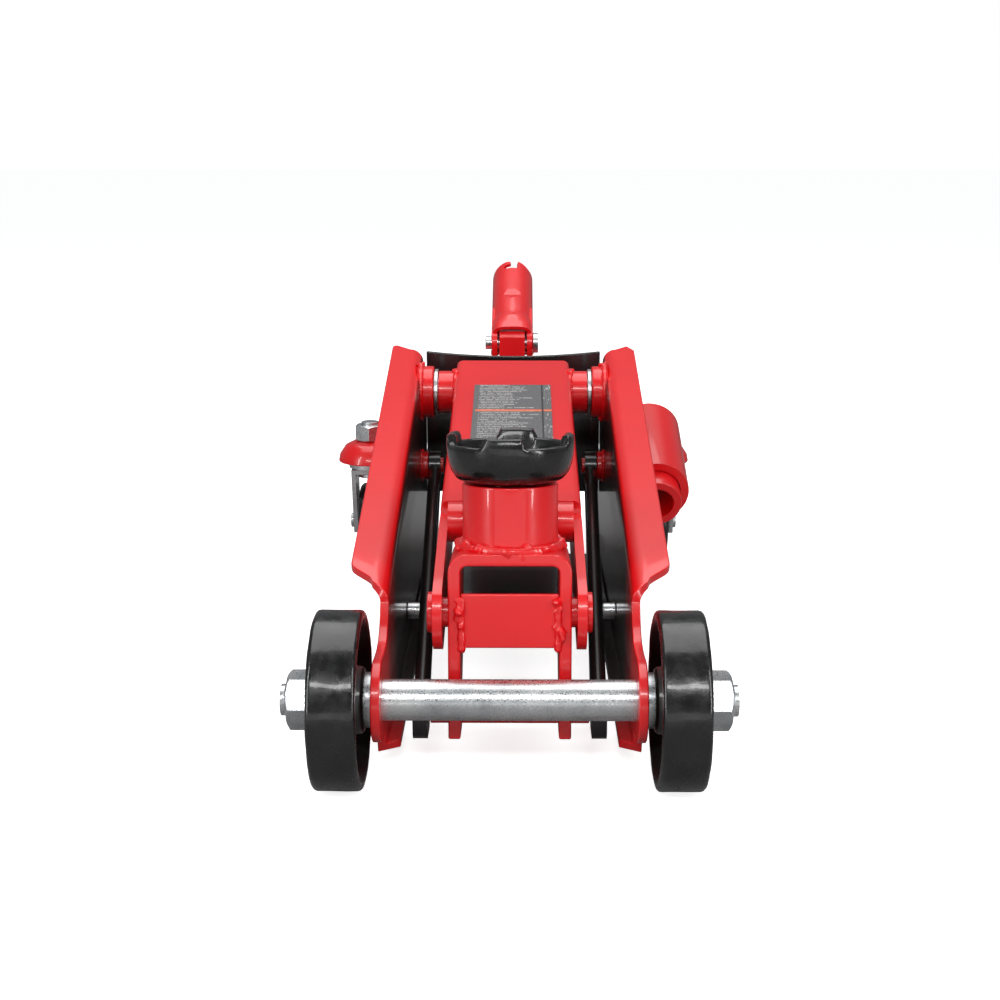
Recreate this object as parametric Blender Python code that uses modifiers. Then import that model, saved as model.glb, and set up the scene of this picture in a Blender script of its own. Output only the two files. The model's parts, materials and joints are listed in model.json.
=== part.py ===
"""A compact hydraulic trolley jack: folded side plates, lift arm, tilting saddle bracket, power unit and casters.

Lengths are metres. Y runs rearwards from the front axle and Z up from the floor; the empty "jack_frame" then
moves everything so that the origin is the middle of the footprint.
"""

import math

import bmesh
import bpy
from mathutils import Matrix, Vector

GAP = 0.0003

# Front axle and wheels
WHEEL_R = 0.0405
WHEEL_IN = 0.0652
WHEEL_OUT = 0.0870
AXLE_R = 0.0093
THREAD_R = 0.0080
AXLE_END = 0.1025
AXLE = (0.0, WHEEL_R)

# Side plates
PLATE_T = 0.0042
PLATE_IN = 0.0570
PLATE_MID = PLATE_IN + PLATE_T / 2
PLATE_OUT = PLATE_IN + PLATE_T
FLANGE_OUT = 0.0770
LIP_IN = 0.0510
LOBE_R = 0.0190
PLATE_BOTTOM = 0.0110
FLANGE_FRONT = (0.0400, 0.0795)
FLANGE_REAR = (0.3280, 0.1555)
BEND_R = 0.0060
FRAME_BOLT = (0.1530, 0.0340)

# Linkage: the arm turns about PIVOT, carries the saddle bracket at FRONT_PIN, and the rods run from
# ROD_ANCHOR to LOWER_PIN, so that the four points make a parallelogram
PIVOT = (0.2960, 0.1315)
FRONT_PIN = (0.0310, 0.0720)
LOWER_PIN = (0.0240, 0.0265)
ROD_ANCHOR = (PIVOT[0] + LOWER_PIN[0] - FRONT_PIN[0], PIVOT[1] + LOWER_PIN[1] - FRONT_PIN[1])
LIFT_DEG = 45.0
CRANK_R = 0.0500
CRANK_POINT = (
    PIVOT[0] + CRANK_R * math.sin(math.radians(LIFT_DEG / 2)),
    PIVOT[1] - CRANK_R * math.cos(math.radians(LIFT_DEG / 2)),
)
ROLLER_R = 0.0100

# Lift arm
ARM_OUT = 0.0354
ARM_T = 0.0044
ARM_IN = ARM_OUT - ARM_T
ARM_TOP_FRONT = (0.0990, 0.1090)
ARM_TOP_REAR = (0.3110, 0.1490)
BOSS_END = 0.0460
SHAFT_R = 0.0100
SHAFT_THREAD_R = 0.0060
PIN_R = 0.0070

# Saddle bracket, drawn upright about FRONT_PIN and then tilted back
TILT = math.radians(5.5)
STRAP_OUT = 0.0285
STRAP_T = 0.0057
STRAP_FRONT = -0.0100
STRAP_REAR = 0.0370
STRAP_TOP = 0.0290
STRAP_FOOT = -0.0582
POST_AT = 0.0155
POST_R = 0.0225
POST_TOP = 0.0590
SADDLE_R = 0.0300
SADDLE_H = 0.0180
LUG_H = 0.0040

# Rear end
RAM_Z = 0.0830
SOCKET_PIVOT = (0.4100, 0.1470)
SOCKET_X = -0.0010
SOCKET_LEAN = math.radians(25.0)
SOCKET_R = 0.0145
SOCKET_BORE_R = 0.0122
SOCKET_END = 0.0880
PUMP_CRANK = 0.0160
PUMP_CRANK_ANGLE = math.radians(-30.0)
CROSS_SHAFT = (0.4160, 0.0660)

# Casters
CASTER_X = 0.0980
CASTER_Y = 0.3800
CASTER_TRAIL = 0.0060
CASTER_R = 0.0260
EAR_R = 0.0220
EAR_Z = (0.0700, 0.0840)

REAR_END = SOCKET_PIVOT[0] + SOCKET_END * math.cos(SOCKET_LEAN) + SOCKET_R * math.sin(SOCKET_LEAN)
MIDDLE_Y = (REAR_END - WHEEL_R) / 2

RED = (0.80, 0.02, 0.03)
BLACK = (0.015, 0.015, 0.016)
ZINC = (0.62, 0.64, 0.65)

for old in list(bpy.data.objects):
    bpy.data.objects.remove(old)

scene_collection = bpy.context.scene.collection
parts = bpy.data.collections.new("trolley_jack")
helpers = bpy.data.collections.new("cutters")
scene_collection.children.link(parts)
scene_collection.children.link(helpers)

jack_frame = bpy.data.objects.new("jack_frame", None)
jack_frame.location = (0.0, -MIDDLE_Y, 0.0)
parts.objects.link(jack_frame)


# ---------------------------------------------------------------- helpers
def finish_of(name, colour, roughness, metallic):
    made = bpy.data.materials.new(name)
    made.use_nodes = True
    shader = made.node_tree.nodes["Principled BSDF"]
    shader.inputs["Base Color"].default_value = (*colour, 1.0)
    shader.inputs["Roughness"].default_value = roughness
    shader.inputs["Metallic"].default_value = metallic
    return made


def red(name):
    return finish_of(name + "_red_paint", RED, 0.3, 0.0)


def black(name):
    return finish_of(name + "_black_paint", BLACK, 0.35, 0.0)


def zinc(name):
    return finish_of(name + "_zinc", ZINC, 0.35, 1.0)


def turn_to(direction):
    """The turn that takes +Z to this direction."""
    return Vector((0, 0, 1)).rotation_difference(Vector(direction)).to_matrix().to_4x4()


def place(name, bm, finish=None, pivot=(0.0, 0.0, 0.0)):
    """Makes an object of the bmesh, with its origin at the pivot."""
    pivot = Vector(pivot)
    bmesh.ops.translate(bm, verts=bm.verts, vec=-pivot)
    mesh = bpy.data.meshes.new(name)
    bm.to_mesh(mesh)
    bm.free()
    made = bpy.data.objects.new(name, mesh)
    made.location = pivot
    made.parent = jack_frame
    (parts if finish else helpers).objects.link(made)
    if finish:
        mesh.materials.append(finish)
    else:
        made.hide_render = True
        made.display_type = "WIRE"
    mesh.shade_smooth()
    mesh.set_sharp_from_angle(angle=math.radians(35))
    return made


def thicken(made, thickness, offset):
    wall = made.modifiers.new("thickness", "SOLIDIFY")
    wall.thickness = thickness
    wall.offset = offset
    wall.use_even_offset = True
    wall.use_quality_normals = True


def combine(target, tool, operation):
    change = target.modifiers.new(operation.lower() + "_" + tool.name, "BOOLEAN")
    change.operation = operation
    change.object = tool
    change.solver = "EXACT"


def rod(start, end, radius, segments=24):
    """A bmesh of a round bar between two points."""
    start = Vector(start)
    end = Vector(end)
    bm = bmesh.new()
    bmesh.ops.create_cone(
        bm,
        cap_ends=True,
        segments=segments,
        radius1=radius,
        radius2=radius,
        depth=(end - start).length,
        matrix=Matrix.Translation((start + end) / 2) @ turn_to(end - start),
    )
    return bm


def box(low, high):
    bm = bmesh.new()
    low = Vector(low)
    high = Vector(high)
    size = high - low
    bmesh.ops.create_cube(bm, size=1.0, matrix=Matrix.Translation((low + high) / 2) @ Matrix.Diagonal((*size, 1.0)))
    return bm


def turned(profile, at, direction, segments=32):
    """A bmesh of a turned shape: the closed profile holds (radius, distance along the axis)."""
    bm = bmesh.new()
    ring = [bm.verts.new((r, 0.0, z)) for r, z in profile]
    edges = [bm.edges.new((a, b)) for a, b in zip(ring, ring[1:] + ring[:1])]
    bmesh.ops.spin(
        bm,
        geom=ring + edges,
        cent=(0, 0, 0),
        axis=(0, 0, 1),
        angle=2 * math.pi,
        steps=segments,
        use_merge=True,
    )
    bmesh.ops.remove_doubles(bm, verts=bm.verts, dist=1e-6)
    flat = [e for e in bm.edges if not e.link_faces]
    bmesh.ops.delete(bm, geom=flat, context="EDGES")
    bmesh.ops.recalc_face_normals(bm, faces=bm.faces)
    bmesh.ops.transform(bm, verts=bm.verts, matrix=Matrix.Translation(at) @ turn_to(direction))
    return bm


def ring_profile(inner, outer, low, high, chamfer=0.0):
    if not chamfer:
        return [(inner, low), (outer, low), (outer, high), (inner, high)]
    return [
        (inner, low),
        (outer - chamfer, low),
        (outer, low + chamfer),
        (outer, high - chamfer),
        (outer - chamfer, high),
        (inner, high),
    ]


def arc(centre, radius, start_deg, end_deg, steps):
    angles = [math.radians(start_deg + (end_deg - start_deg) * i / steps) for i in range(steps + 1)]
    return [(centre[0] + radius * math.cos(a), centre[1] + radius * math.sin(a)) for a in angles]


def slab(outline, low_x, high_x):
    """A flat outline in (Y, Z), cut from sheet that lies between two X values."""
    bm = bmesh.new()
    face = bm.faces.new([bm.verts.new((low_x, y, z)) for y, z in outline])
    grown = bmesh.ops.extrude_face_region(bm, geom=[face])
    moved = [v for v in grown["geom"] if isinstance(v, bmesh.types.BMVert)]
    bmesh.ops.translate(bm, verts=moved, vec=(high_x - low_x, 0, 0))
    bmesh.ops.recalc_face_normals(bm, faces=bm.faces)
    return bm


def hexagon(at, side, across_flats, low, high):
    """A hex nut along X on one side of the jack, from |X| low to high."""
    return rod((side * low, *at), (side * high, *at), across_flats / math.sqrt(3), 6)


def bored(name, bm, finish, start, end, radius, pivot=(0.0, 0.0, 0.0), segments=24):
    """An object with one round hole between two points."""
    made = place(name, bm, finish, pivot)
    combine(made, place(name + "_bore", rod(start, end, radius, segments)), "DIFFERENCE")
    return made


def crown_up(bm):
    """Makes the faces of an open sheet agree, with its crown facing up."""
    bmesh.ops.recalc_face_normals(bm, faces=bm.faces)
    bm.normal_update()
    if sum(f.normal.z * f.calc_area() for f in bm.faces) < 0:
        bmesh.ops.reverse_faces(bm, faces=bm.faces)
    return bm


def tilt_back(bm):
    """Turns a bmesh drawn upright about the front pin to the bracket's lean."""
    pin = Vector((0.0, *FRONT_PIN))
    lean = Matrix.Translation(pin) @ Matrix.Rotation(-TILT, 4, "X")
    bmesh.ops.transform(bm, verts=bm.verts, matrix=lean)
    return bm


# ---------------------------------------------------------------- side plates
def s_curve(t):
    """The inverse of a smooth step: how far along the flange's front edge a share t of its width is reached."""
    return 0.5 - math.sin(math.asin(1.0 - 2.0 * t) / 3.0)


def side_sheet(side):
    """The middle surface of one side plate: web, rolled top flange and inward bottom lip."""
    bm = bmesh.new()
    run = FLANGE_REAR[0] - FLANGE_FRONT[0]
    slope = (FLANGE_REAR[1] - FLANGE_FRONT[1]) / run
    bend_steps = 4
    flange_steps = 4
    stations = [0.0, 0.04, 0.12, 0.3, 1.0]
    reach = FLANGE_OUT - PLATE_MID - BEND_R
    columns = []
    for i in range(bend_steps + 1):
        angle = math.pi / 2 * i / bend_steps
        columns.append((BEND_R * (1 - math.cos(angle)), BEND_R * (math.sin(angle) - 1), 0.005 * (i / bend_steps) ** 2))
    for i in range(1, flange_steps + 1):
        share = i / flange_steps
        columns.append((BEND_R + reach * share, 0.0, 0.005 + 0.017 * s_curve(share)))
    grid = []
    for out, drop, start in columns:
        first = FLANGE_FRONT[0] + start
        line = []
        for share in stations:
            y = first + (FLANGE_REAR[0] - first) * share
            z = FLANGE_FRONT[1] + slope * (y - FLANGE_FRONT[0]) + drop
            line.append(bm.verts.new((side * (PLATE_MID + out), y, z)))
        grid.append(line)
    for a, b in zip(grid, grid[1:]):
        for k in range(len(stations) - 1):
            bm.faces.new((a[k], a[k + 1], b[k + 1], b[k]))
    outline = arc(AXLE, LOBE_R, -60, -275, 18)
    outline += [(0.0140, 0.0588), (0.0240, 0.0590), (0.0310, 0.0620), (0.0360, 0.0670)]
    front = [bm.verts.new((side * PLATE_MID, y, z)) for y, z in outline]
    lip_line = [(0.4000, PLATE_BOTTOM), (0.0150, PLATE_BOTTOM)]
    rear = [(0.3360, 0.1440), (0.4000, 0.1130), (0.4340, 0.0900), (0.4340, 0.0400), (0.4200, 0.0200)]
    back = [bm.verts.new((side * PLATE_MID, y, z)) for y, z in rear + lip_line]
    bm.faces.new(front + grid[0] + back)
    lip_out = side * (LIP_IN - PLATE_MID)
    edge = bm.edges.get((back[-2], back[-1]))
    grown = bmesh.ops.extrude_edge_only(bm, edges=[edge])
    tips = [v for v in grown["geom"] if isinstance(v, bmesh.types.BMVert)]
    for tip in tips:
        front_tip = tip.co.y < 0.1
        bmesh.ops.translate(bm, verts=[tip], vec=(lip_out, 0.006 if front_tip else -0.006, 0.0))
    bmesh.ops.recalc_face_normals(bm, faces=bm.faces)
    return bm


def side_plate(side, name):
    made = place(name, side_sheet(side), red(name))
    thicken(made, PLATE_T, 0.0)
    holes = {
        "axle": (AXLE, THREAD_R),
        "pivot": (PIVOT, SHAFT_THREAD_R),
        "anchor": (ROD_ANCHOR, 0.0050),
        "bolt": (FRAME_BOLT, 0.0035),
        "shaft": (CROSS_SHAFT, 0.0060),
    }
    for key, (at, radius) in holes.items():
        hole = rod((side * 0.05, *at), (side * 0.07, *at), radius + GAP, 20)
        combine(made, place(f"{name}_{key}_hole", hole), "DIFFERENCE")


SIDES = ((-1, "left"), (1, "right"))
for side, word in SIDES:
    side_plate(side, "side_plate_" + word)


# ---------------------------------------------------------------- front axle and wheels
def stepped_bar(radius, shoulder, end_radius, end, at):
    """A bar across the jack, thinner beyond the shoulders at both ends."""
    chamfer = 0.0010
    half = [(radius, shoulder), (end_radius, shoulder), (end_radius, end - chamfer), (end_radius - chamfer, end)]
    profile = [(0.0, end)] + half[::-1]
    profile += [(r, -x) for r, x in half] + [(0.0, -end)]
    return turned(profile, (0.0, *at), (1, 0, 0), 24)


place("front_axle", stepped_bar(AXLE_R, PLATE_IN - GAP, THREAD_R, AXLE_END, AXLE), zinc("front_axle"))


def front_wheel(side, name):
    """A cast wheel, dished on both faces between the rim and the hub."""
    bore = THREAD_R + GAP
    profile = [
        (bore, WHEEL_IN),
        (0.0150, WHEEL_IN),
        (0.0150, WHEEL_IN + 0.0085),
        (0.0350, WHEEL_IN + 0.0075),
        (0.0360, WHEEL_IN + 0.0005),
        (WHEEL_R - 0.0012, WHEEL_IN + 0.0005),
        (WHEEL_R, WHEEL_IN + 0.0018),
        (WHEEL_R, WHEEL_OUT - 0.0013),
        (WHEEL_R - 0.0013, WHEEL_OUT),
        (0.0360, WHEEL_OUT),
        (0.0350, WHEEL_OUT - 0.0070),
        (0.0150, WHEEL_OUT - 0.0070),
        (0.0150, WHEEL_OUT),
        (bore, WHEEL_OUT),
    ]
    place(name, turned(profile, (0.0, *AXLE), (side, 0, 0), 40), black(name), (0.0, *AXLE))


for side, word in SIDES:
    front_wheel(side, "front_wheel_" + word)
    washer = ring_profile(THREAD_R + GAP, 0.0125, PLATE_OUT + GAP, WHEEL_IN - GAP)
    place("wheel_washer_" + word, turned(washer, (0.0, *AXLE), (side, 0, 0), 24), zinc("wheel_washer_" + word))
    nut = hexagon(AXLE, side, 0.0240, WHEEL_OUT + GAP, WHEEL_OUT + 0.0125)
    bored(
        "axle_nut_" + word,
        nut,
        zinc("axle_nut_" + word),
        (side * 0.08, *AXLE),
        (side * 0.11, *AXLE),
        THREAD_R + GAP,
    )


# ---------------------------------------------------------------- lift arm
def arm_sheet():
    """The outer surface of the arm: two cheeks joined by a bent-over top."""
    ear = arc(CRANK_POINT, 0.0130, -120, 20, 6)
    heel = arc(PIVOT, 0.0190, -10, 30, 3)
    nose = arc(FRONT_PIN, 0.0172, 130, 265, 8)
    top = [ARM_TOP_REAR, ARM_TOP_FRONT]
    relief = [(0.0985, 0.1025), (0.0850, 0.1012)]
    outline = ear + heel + top + relief + nose + [(0.0700, 0.0640), (0.2600, 0.1020)]
    bm = bmesh.new()
    cheeks = []
    for side in (-1, 1):
        ring = [bm.verts.new((side * ARM_OUT, y, z)) for y, z in outline]
        bm.faces.new(ring)
        cheeks.append(ring)
    at = len(ear) + len(heel)
    left, right = cheeks
    bm.faces.new((left[at], left[at + 1], right[at + 1], right[at]))
    crown_up(bm)
    bends = [bm.edges.get((ring[at], ring[at + 1])) for ring in cheeks]
    bmesh.ops.bevel(bm, geom=bends, offset=0.0050, segments=3, profile=0.5, affect="EDGES")
    return bm


lift_arm = place("lift_arm", arm_sheet(), red("lift_arm"), (0.0, *PIVOT))
thicken(lift_arm, ARM_T, -1.0)
for side, word in SIDES:
    boss = rod((side * (ARM_IN + 0.001), *PIVOT), (side * BOSS_END, *PIVOT), 0.0130, 28)
    combine(lift_arm, place("arm_boss_" + word, boss), "UNION")
ARM_HOLES = {"pivot": (PIVOT, SHAFT_R), "pin": (FRONT_PIN, PIN_R), "roller": (CRANK_POINT, 0.0055)}
for key, (at, radius) in ARM_HOLES.items():
    hole = rod((-0.06, *at), (0.06, *at), radius + GAP, 24)
    combine(lift_arm, place(f"arm_{key}_hole", hole), "DIFFERENCE")

ARM_TUBE = (0.0870, 0.1010)
tube = ring_profile(0.0075, 0.0100, -ARM_IN + GAP, ARM_IN - GAP)
place("arm_cross_tube", turned(tube, (0.0, *ARM_TUBE), (1, 0, 0), 24), red("arm_cross_tube"), (0.0, *PIVOT))

roller = ring_profile(0.0058, ROLLER_R, -0.0120, 0.0120)
place(
    "drive_roller",
    turned(roller, (0.0, *CRANK_POINT), (1, 0, 0), 24),
    finish_of("drive_roller_steel", ZINC, 0.3, 1.0),
    (0.0, *CRANK_POINT),
)
ROLLER_PIN = [(0.0, -0.0385), (0.0055, -0.0385), (0.0055, 0.0356), (0.0085, 0.0356), (0.0085, 0.0385), (0.0, 0.0385)]
place("drive_roller_pin", turned(ROLLER_PIN, (0.0, *CRANK_POINT), (1, 0, 0), 20), zinc("drive_roller_pin"), (0.0, *PIVOT))
FRONT_PIN_PROFILE = [
    (0.0, -0.0382),
    (0.0095, -0.0382),
    (0.0095, -0.0357),
    (PIN_R, -0.0357),
    (PIN_R, 0.0357),
    (0.0095, 0.0357),
    (0.0095, 0.0382),
    (0.0, 0.0382),
]
place("front_pin", turned(FRONT_PIN_PROFILE, (0.0, *FRONT_PIN), (1, 0, 0), 24), red("front_pin"), (0.0, *PIVOT))

slope_angle = math.atan2(ARM_TOP_REAR[1] - ARM_TOP_FRONT[1], ARM_TOP_REAR[0] - ARM_TOP_FRONT[0])
label = box((-0.0228, -0.0460, GAP), (0.0228, 0.0460, GAP + 0.0005))
label_turn = Matrix.Rotation(slope_angle, 4, "X")
label_at = Vector((0.0, ARM_TOP_REAR[0], ARM_TOP_REAR[1])) - label_turn.to_3x3() @ Vector((0, 0.0930, 0))
bmesh.ops.transform(label, verts=label.verts, matrix=Matrix.Translation(label_at) @ label_turn)
place("arm_label", label, finish_of("arm_label_print", (0.25, 0.25, 0.25), 0.5, 0.0), (0.0, *PIVOT))

# ---------------------------------------------------------------- arm pivot
place("pivot_shaft", stepped_bar(SHAFT_R, PLATE_IN - GAP, SHAFT_THREAD_R, 0.0725, PIVOT), zinc("pivot_shaft"))
for side, word in SIDES:
    ring = ring_profile(SHAFT_R + GAP, 0.0142, BOSS_END + GAP, BOSS_END + 0.0026)
    place("pivot_washer_" + word, turned(ring, (0.0, *PIVOT), (side, 0, 0), 28), zinc("pivot_washer_" + word))
    collar = ring_profile(SHAFT_R + GAP, 0.0160, BOSS_END + 0.0029, PLATE_IN - GAP, 0.0010)
    place("pivot_collar_" + word, turned(collar, (0.0, *PIVOT), (side, 0, 0), 28), red("pivot_collar_" + word))
    nut = hexagon(PIVOT, side, 0.0180, PLATE_OUT + GAP, PLATE_OUT + 0.0085)
    bored(
        "pivot_nut_" + word,
        nut,
        zinc("pivot_nut_" + word),
        (side * 0.05, *PIVOT),
        (side * 0.08, *PIVOT),
        SHAFT_THREAD_R + GAP,
    )

# ---------------------------------------------------------------- saddle bracket
def strap_section():
    """Half of the strap seen from the front, as (X, height): outer side up, inner side down."""
    outer = [(STRAP_OUT, STRAP_FOOT)] + arc((STRAP_OUT - 0.009, STRAP_TOP - 0.009), 0.009, 0, 90, 4)
    inner_r = 0.0030
    inner_x = STRAP_OUT - STRAP_T
    inner_top = STRAP_TOP - STRAP_T
    inner = arc((inner_x - inner_r, inner_top - inner_r), inner_r, 90, 0, 2)
    return outer, inner + [(inner_x, -0.0500), (inner_x + 0.0030, STRAP_FOOT)]


def strap():
    outer, inner = strap_section()
    right = outer + [(0.0, STRAP_TOP)]
    outline = right + [(-x, z) for x, z in reversed(outer)] + [(-x, z) for x, z in reversed(inner)] + inner
    bm = bmesh.new()
    face = bm.faces.new([bm.verts.new((x, STRAP_FRONT, z)) for x, z in outline])
    grown = bmesh.ops.extrude_face_region(bm, geom=[face])
    moved = [v for v in grown["geom"] if isinstance(v, bmesh.types.BMVert)]
    bmesh.ops.translate(bm, verts=moved, vec=(0, STRAP_REAR - STRAP_FRONT, 0))
    bmesh.ops.recalc_face_normals(bm, faces=bm.faces)
    return bm


bracket = place("saddle_bracket", tilt_back(strap()), red("saddle_bracket"), (0.0, *FRONT_PIN))
# The legs narrow towards their feet, behind
BACK_CUT = [(0.0450, -0.0120), (0.0380, -0.0120), (0.0120, -0.0420), (0.0100, -0.0700), (0.0450, -0.0700)]
combine(bracket, place("leg_taper", tilt_back(slab(BACK_CUT, -0.04, 0.04))), "DIFFERENCE")
for key, at, radius in (("pin", FRONT_PIN, PIN_R), ("lower", LOWER_PIN, 0.0062)):
    combine(bracket, place(f"bracket_{key}_hole", rod((-0.05, *at), (0.05, *at), radius + GAP)), "DIFFERENCE")

FRONT_PLATE_X = STRAP_OUT - STRAP_T - GAP
# The plate between the legs leaves room for the front pin behind it
front_plate = tilt_back(box((-FRONT_PLATE_X, STRAP_FRONT + 0.0005, -0.0150), (FRONT_PLATE_X, -0.0075, 0.0105)))
place("bracket_front_plate", front_plate, red("bracket_front_plate"), (0.0, *FRONT_PIN))

LOWER_PIN_PROFILE = [
    (0.0, -0.0480),
    (0.0050, -0.0480),
    (0.0050, -0.0370),
    (0.0062, -0.0370),
    (0.0062, 0.0370),
    (0.0050, 0.0370),
    (0.0050, 0.0480),
    (0.0, 0.0480),
]
place("lower_pin", turned(LOWER_PIN_PROFILE, (0.0, *LOWER_PIN), (1, 0, 0), 24), red("lower_pin"), (0.0, *FRONT_PIN))

post = turned(ring_profile(0.0128, POST_R, STRAP_TOP + GAP, POST_TOP), (0.0, POST_AT, 0.0), (0, 0, 1), 36)
place("saddle_post", tilt_back(post), red("saddle_post"), (0.0, *FRONT_PIN))


def saddle_cup():
    """A dished cup with a stem; its four lugs are joined on."""
    base = POST_TOP + GAP
    rim = base + SADDLE_H
    profile = [
        (0.0, base - 0.0220),
        (0.0125, base - 0.0220),
        (0.0125, base),
        (0.0195, base),
        (0.0265, base + 0.0040),
        (0.0292, base + 0.0100),
        (SADDLE_R, rim),
        (SADDLE_R - 0.0045, rim),
        (0.0240, base + 0.0068),
        (0.0, base + 0.0068),
    ]
    return turned(profile, (0.0, POST_AT, 0.0), (0, 0, 1), 36)


def saddle_lug(turn):
    base = POST_TOP + GAP + SADDLE_H - 0.0030
    mid = SADDLE_R - 0.0024
    bm = box((-0.0095, mid - 0.0022, 0.0), (0.0095, mid + 0.0008, 0.0030 + LUG_H))
    move = Matrix.Translation((0.0, POST_AT, base)) @ Matrix.Rotation(turn, 4, "Z")
    bmesh.ops.transform(bm, verts=bm.verts, matrix=move)
    return tilt_back(bm)


lean = Matrix.Rotation(-TILT, 3, "X")
saddle_at = Vector((0.0, *FRONT_PIN)) + lean @ Vector((0.0, POST_AT, POST_TOP))
saddle = place("saddle", tilt_back(saddle_cup()), black("saddle"), saddle_at)
for i in range(4):
    lug = place(f"saddle_lug_{i + 1}", saddle_lug(math.radians(90 * i - 6)))
    combine(saddle, lug, "UNION")


# ---------------------------------------------------------------- parallel rods
ROD_FRONT_X = 0.0415
ROD_REAR_X = 0.0486


def front_eye_outline():
    """The flattened front end of a rod: round above the pin and square below it."""
    y, z = LOWER_PIN
    crown = arc(LOWER_PIN, 0.0095, 0, 180, 12)
    return crown + [(y - 0.0095, z - 0.0090), (y - 0.0070, z - 0.0115), (y + 0.0070, z - 0.0115), (y + 0.0095, z - 0.0090)]


def parallel_rod(side, name):
    made = place(
        name,
        rod((side * ROD_FRONT_X, *LOWER_PIN), (side * ROD_REAR_X, *ROD_ANCHOR), 0.0040, 12),
        black(name),
        (0.0, *ROD_ANCHOR),
    )
    rear_eye = rod((side * (ROD_REAR_X - 0.0035), *ROD_ANCHOR), (side * (ROD_REAR_X + 0.0035), *ROD_ANCHOR), 0.0095, 20)
    combine(made, place(name + "_rear_eye", rear_eye), "UNION")
    low, high = sorted((side * (ROD_FRONT_X - 0.0035), side * (ROD_FRONT_X + 0.0035)))
    combine(made, place(name + "_front_eye", slab(front_eye_outline(), low, high)), "UNION")
    front_bore = rod((side * 0.03, *LOWER_PIN), (side * 0.056, *LOWER_PIN), 0.0056, 20)
    combine(made, place(name + "_front_bore", front_bore), "DIFFERENCE")
    rear_bore = rod((side * 0.03, *ROD_ANCHOR), (side * 0.056, *ROD_ANCHOR), 0.0050 + GAP, 20)
    combine(made, place(name + "_rear_bore", rear_bore), "DIFFERENCE")


for side, word in SIDES:
    parallel_rod(side, "parallel_rod_" + word)
    anchor = [
        (0.0, 0.0430),
        (0.0050, 0.0430),
        (0.0050, 0.0525),
        (0.0090, 0.0525),
        (0.0090, PLATE_IN - GAP),
        (0.0050, PLATE_IN - GAP),
        (0.0050, PLATE_OUT - GAP),
        (0.0, PLATE_OUT - GAP),
    ]
    place("rod_anchor_" + word, turned(anchor, (0.0, *ROD_ANCHOR), (side, 0, 0), 20), red("rod_anchor_" + word))
    bolt = [
        (0.0, 0.0420),
        (0.0035, 0.0420),
        (0.0035, 0.0500),
        (0.0045, 0.0500),
        (0.0045, PLATE_IN - GAP),
        (0.0035, PLATE_IN - GAP),
        (0.0035, PLATE_OUT + GAP),
        (0.0065, PLATE_OUT + GAP),
        (0.0065, PLATE_OUT + 0.0050),
        (0.0, PLATE_OUT + 0.0050),
    ]
    place("frame_bolt_" + word, turned(bolt, (0.0, *FRAME_BOLT), (side, 0, 0), 18), zinc("frame_bolt_" + word))

# ---------------------------------------------------------------- frame ties
TIE_X = PLATE_IN - GAP
wall = place("rear_cross_plate", box((-TIE_X, 0.3450, 0.0560), (TIE_X, 0.3490, 0.1500)), black("rear_cross_plate"))
combine(wall, place("wall_opening", box((-0.0295, 0.3400, 0.0500), (0.0295, 0.3550, 0.1140))), "DIFFERENCE")
shelf = box((-TIE_X + 0.0004, 0.3470, 0.1142), (TIE_X - 0.0004, 0.3690, 0.1182))
combine(wall, place("wall_shelf", shelf), "UNION")
place("bottom_tie_plate", box((-TIE_X, 0.2050, 0.0136), (TIE_X, 0.3300, 0.0176)), black("bottom_tie_plate"))
place("cross_shaft", stepped_bar(0.0100, TIE_X, 0.0060, 0.0640, CROSS_SHAFT), zinc("cross_shaft"))

# ---------------------------------------------------------------- power unit
BLOCK_FRONT = 0.3860
BLOCK_REAR = 0.4340
BLOCK_TOP = 0.1250
TOWER_X = 0.0088
PLUNGER_Y = SOCKET_PIVOT[0] + PUMP_CRANK * math.cos(PUMP_CRANK_ANGLE)
PLUNGER_TOP = SOCKET_PIVOT[1] + PUMP_CRANK * math.sin(PUMP_CRANK_ANGLE) - 0.0050 - 0.0005

tab = [(0.4185, BLOCK_TOP - 0.004), (0.4185, 0.1520), (0.4150, 0.1555), (0.4050, 0.1555), (0.4015, 0.1520)]
tab += [(0.4015, BLOCK_TOP - 0.004)]
block = place("pump_block", box((-0.0300, BLOCK_FRONT, 0.0450), (0.0300, BLOCK_REAR, BLOCK_TOP)), red("pump_block"))
combine(block, place("yoke_tab", slab(tab, SOCKET_X - TOWER_X, SOCKET_X + TOWER_X)), "UNION")
BLOCK_BORES = {
    "ram": ((0.0, 0.38, RAM_Z), (0.0, 0.4045, RAM_Z), 0.0110),
    "shaft": ((-0.04, *CROSS_SHAFT), (0.04, *CROSS_SHAFT), 0.0100),
    "socket_pin": ((-0.02, *SOCKET_PIVOT), (0.02, *SOCKET_PIVOT), 0.0045),
    "plunger": ((SOCKET_X, PLUNGER_Y, 0.1000), (SOCKET_X, PLUNGER_Y, 0.1300), 0.0045),
}
for key, (start, end, radius) in BLOCK_BORES.items():
    combine(block, place(f"block_{key}_bore", rod(start, end, radius + GAP)), "DIFFERENCE")

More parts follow.
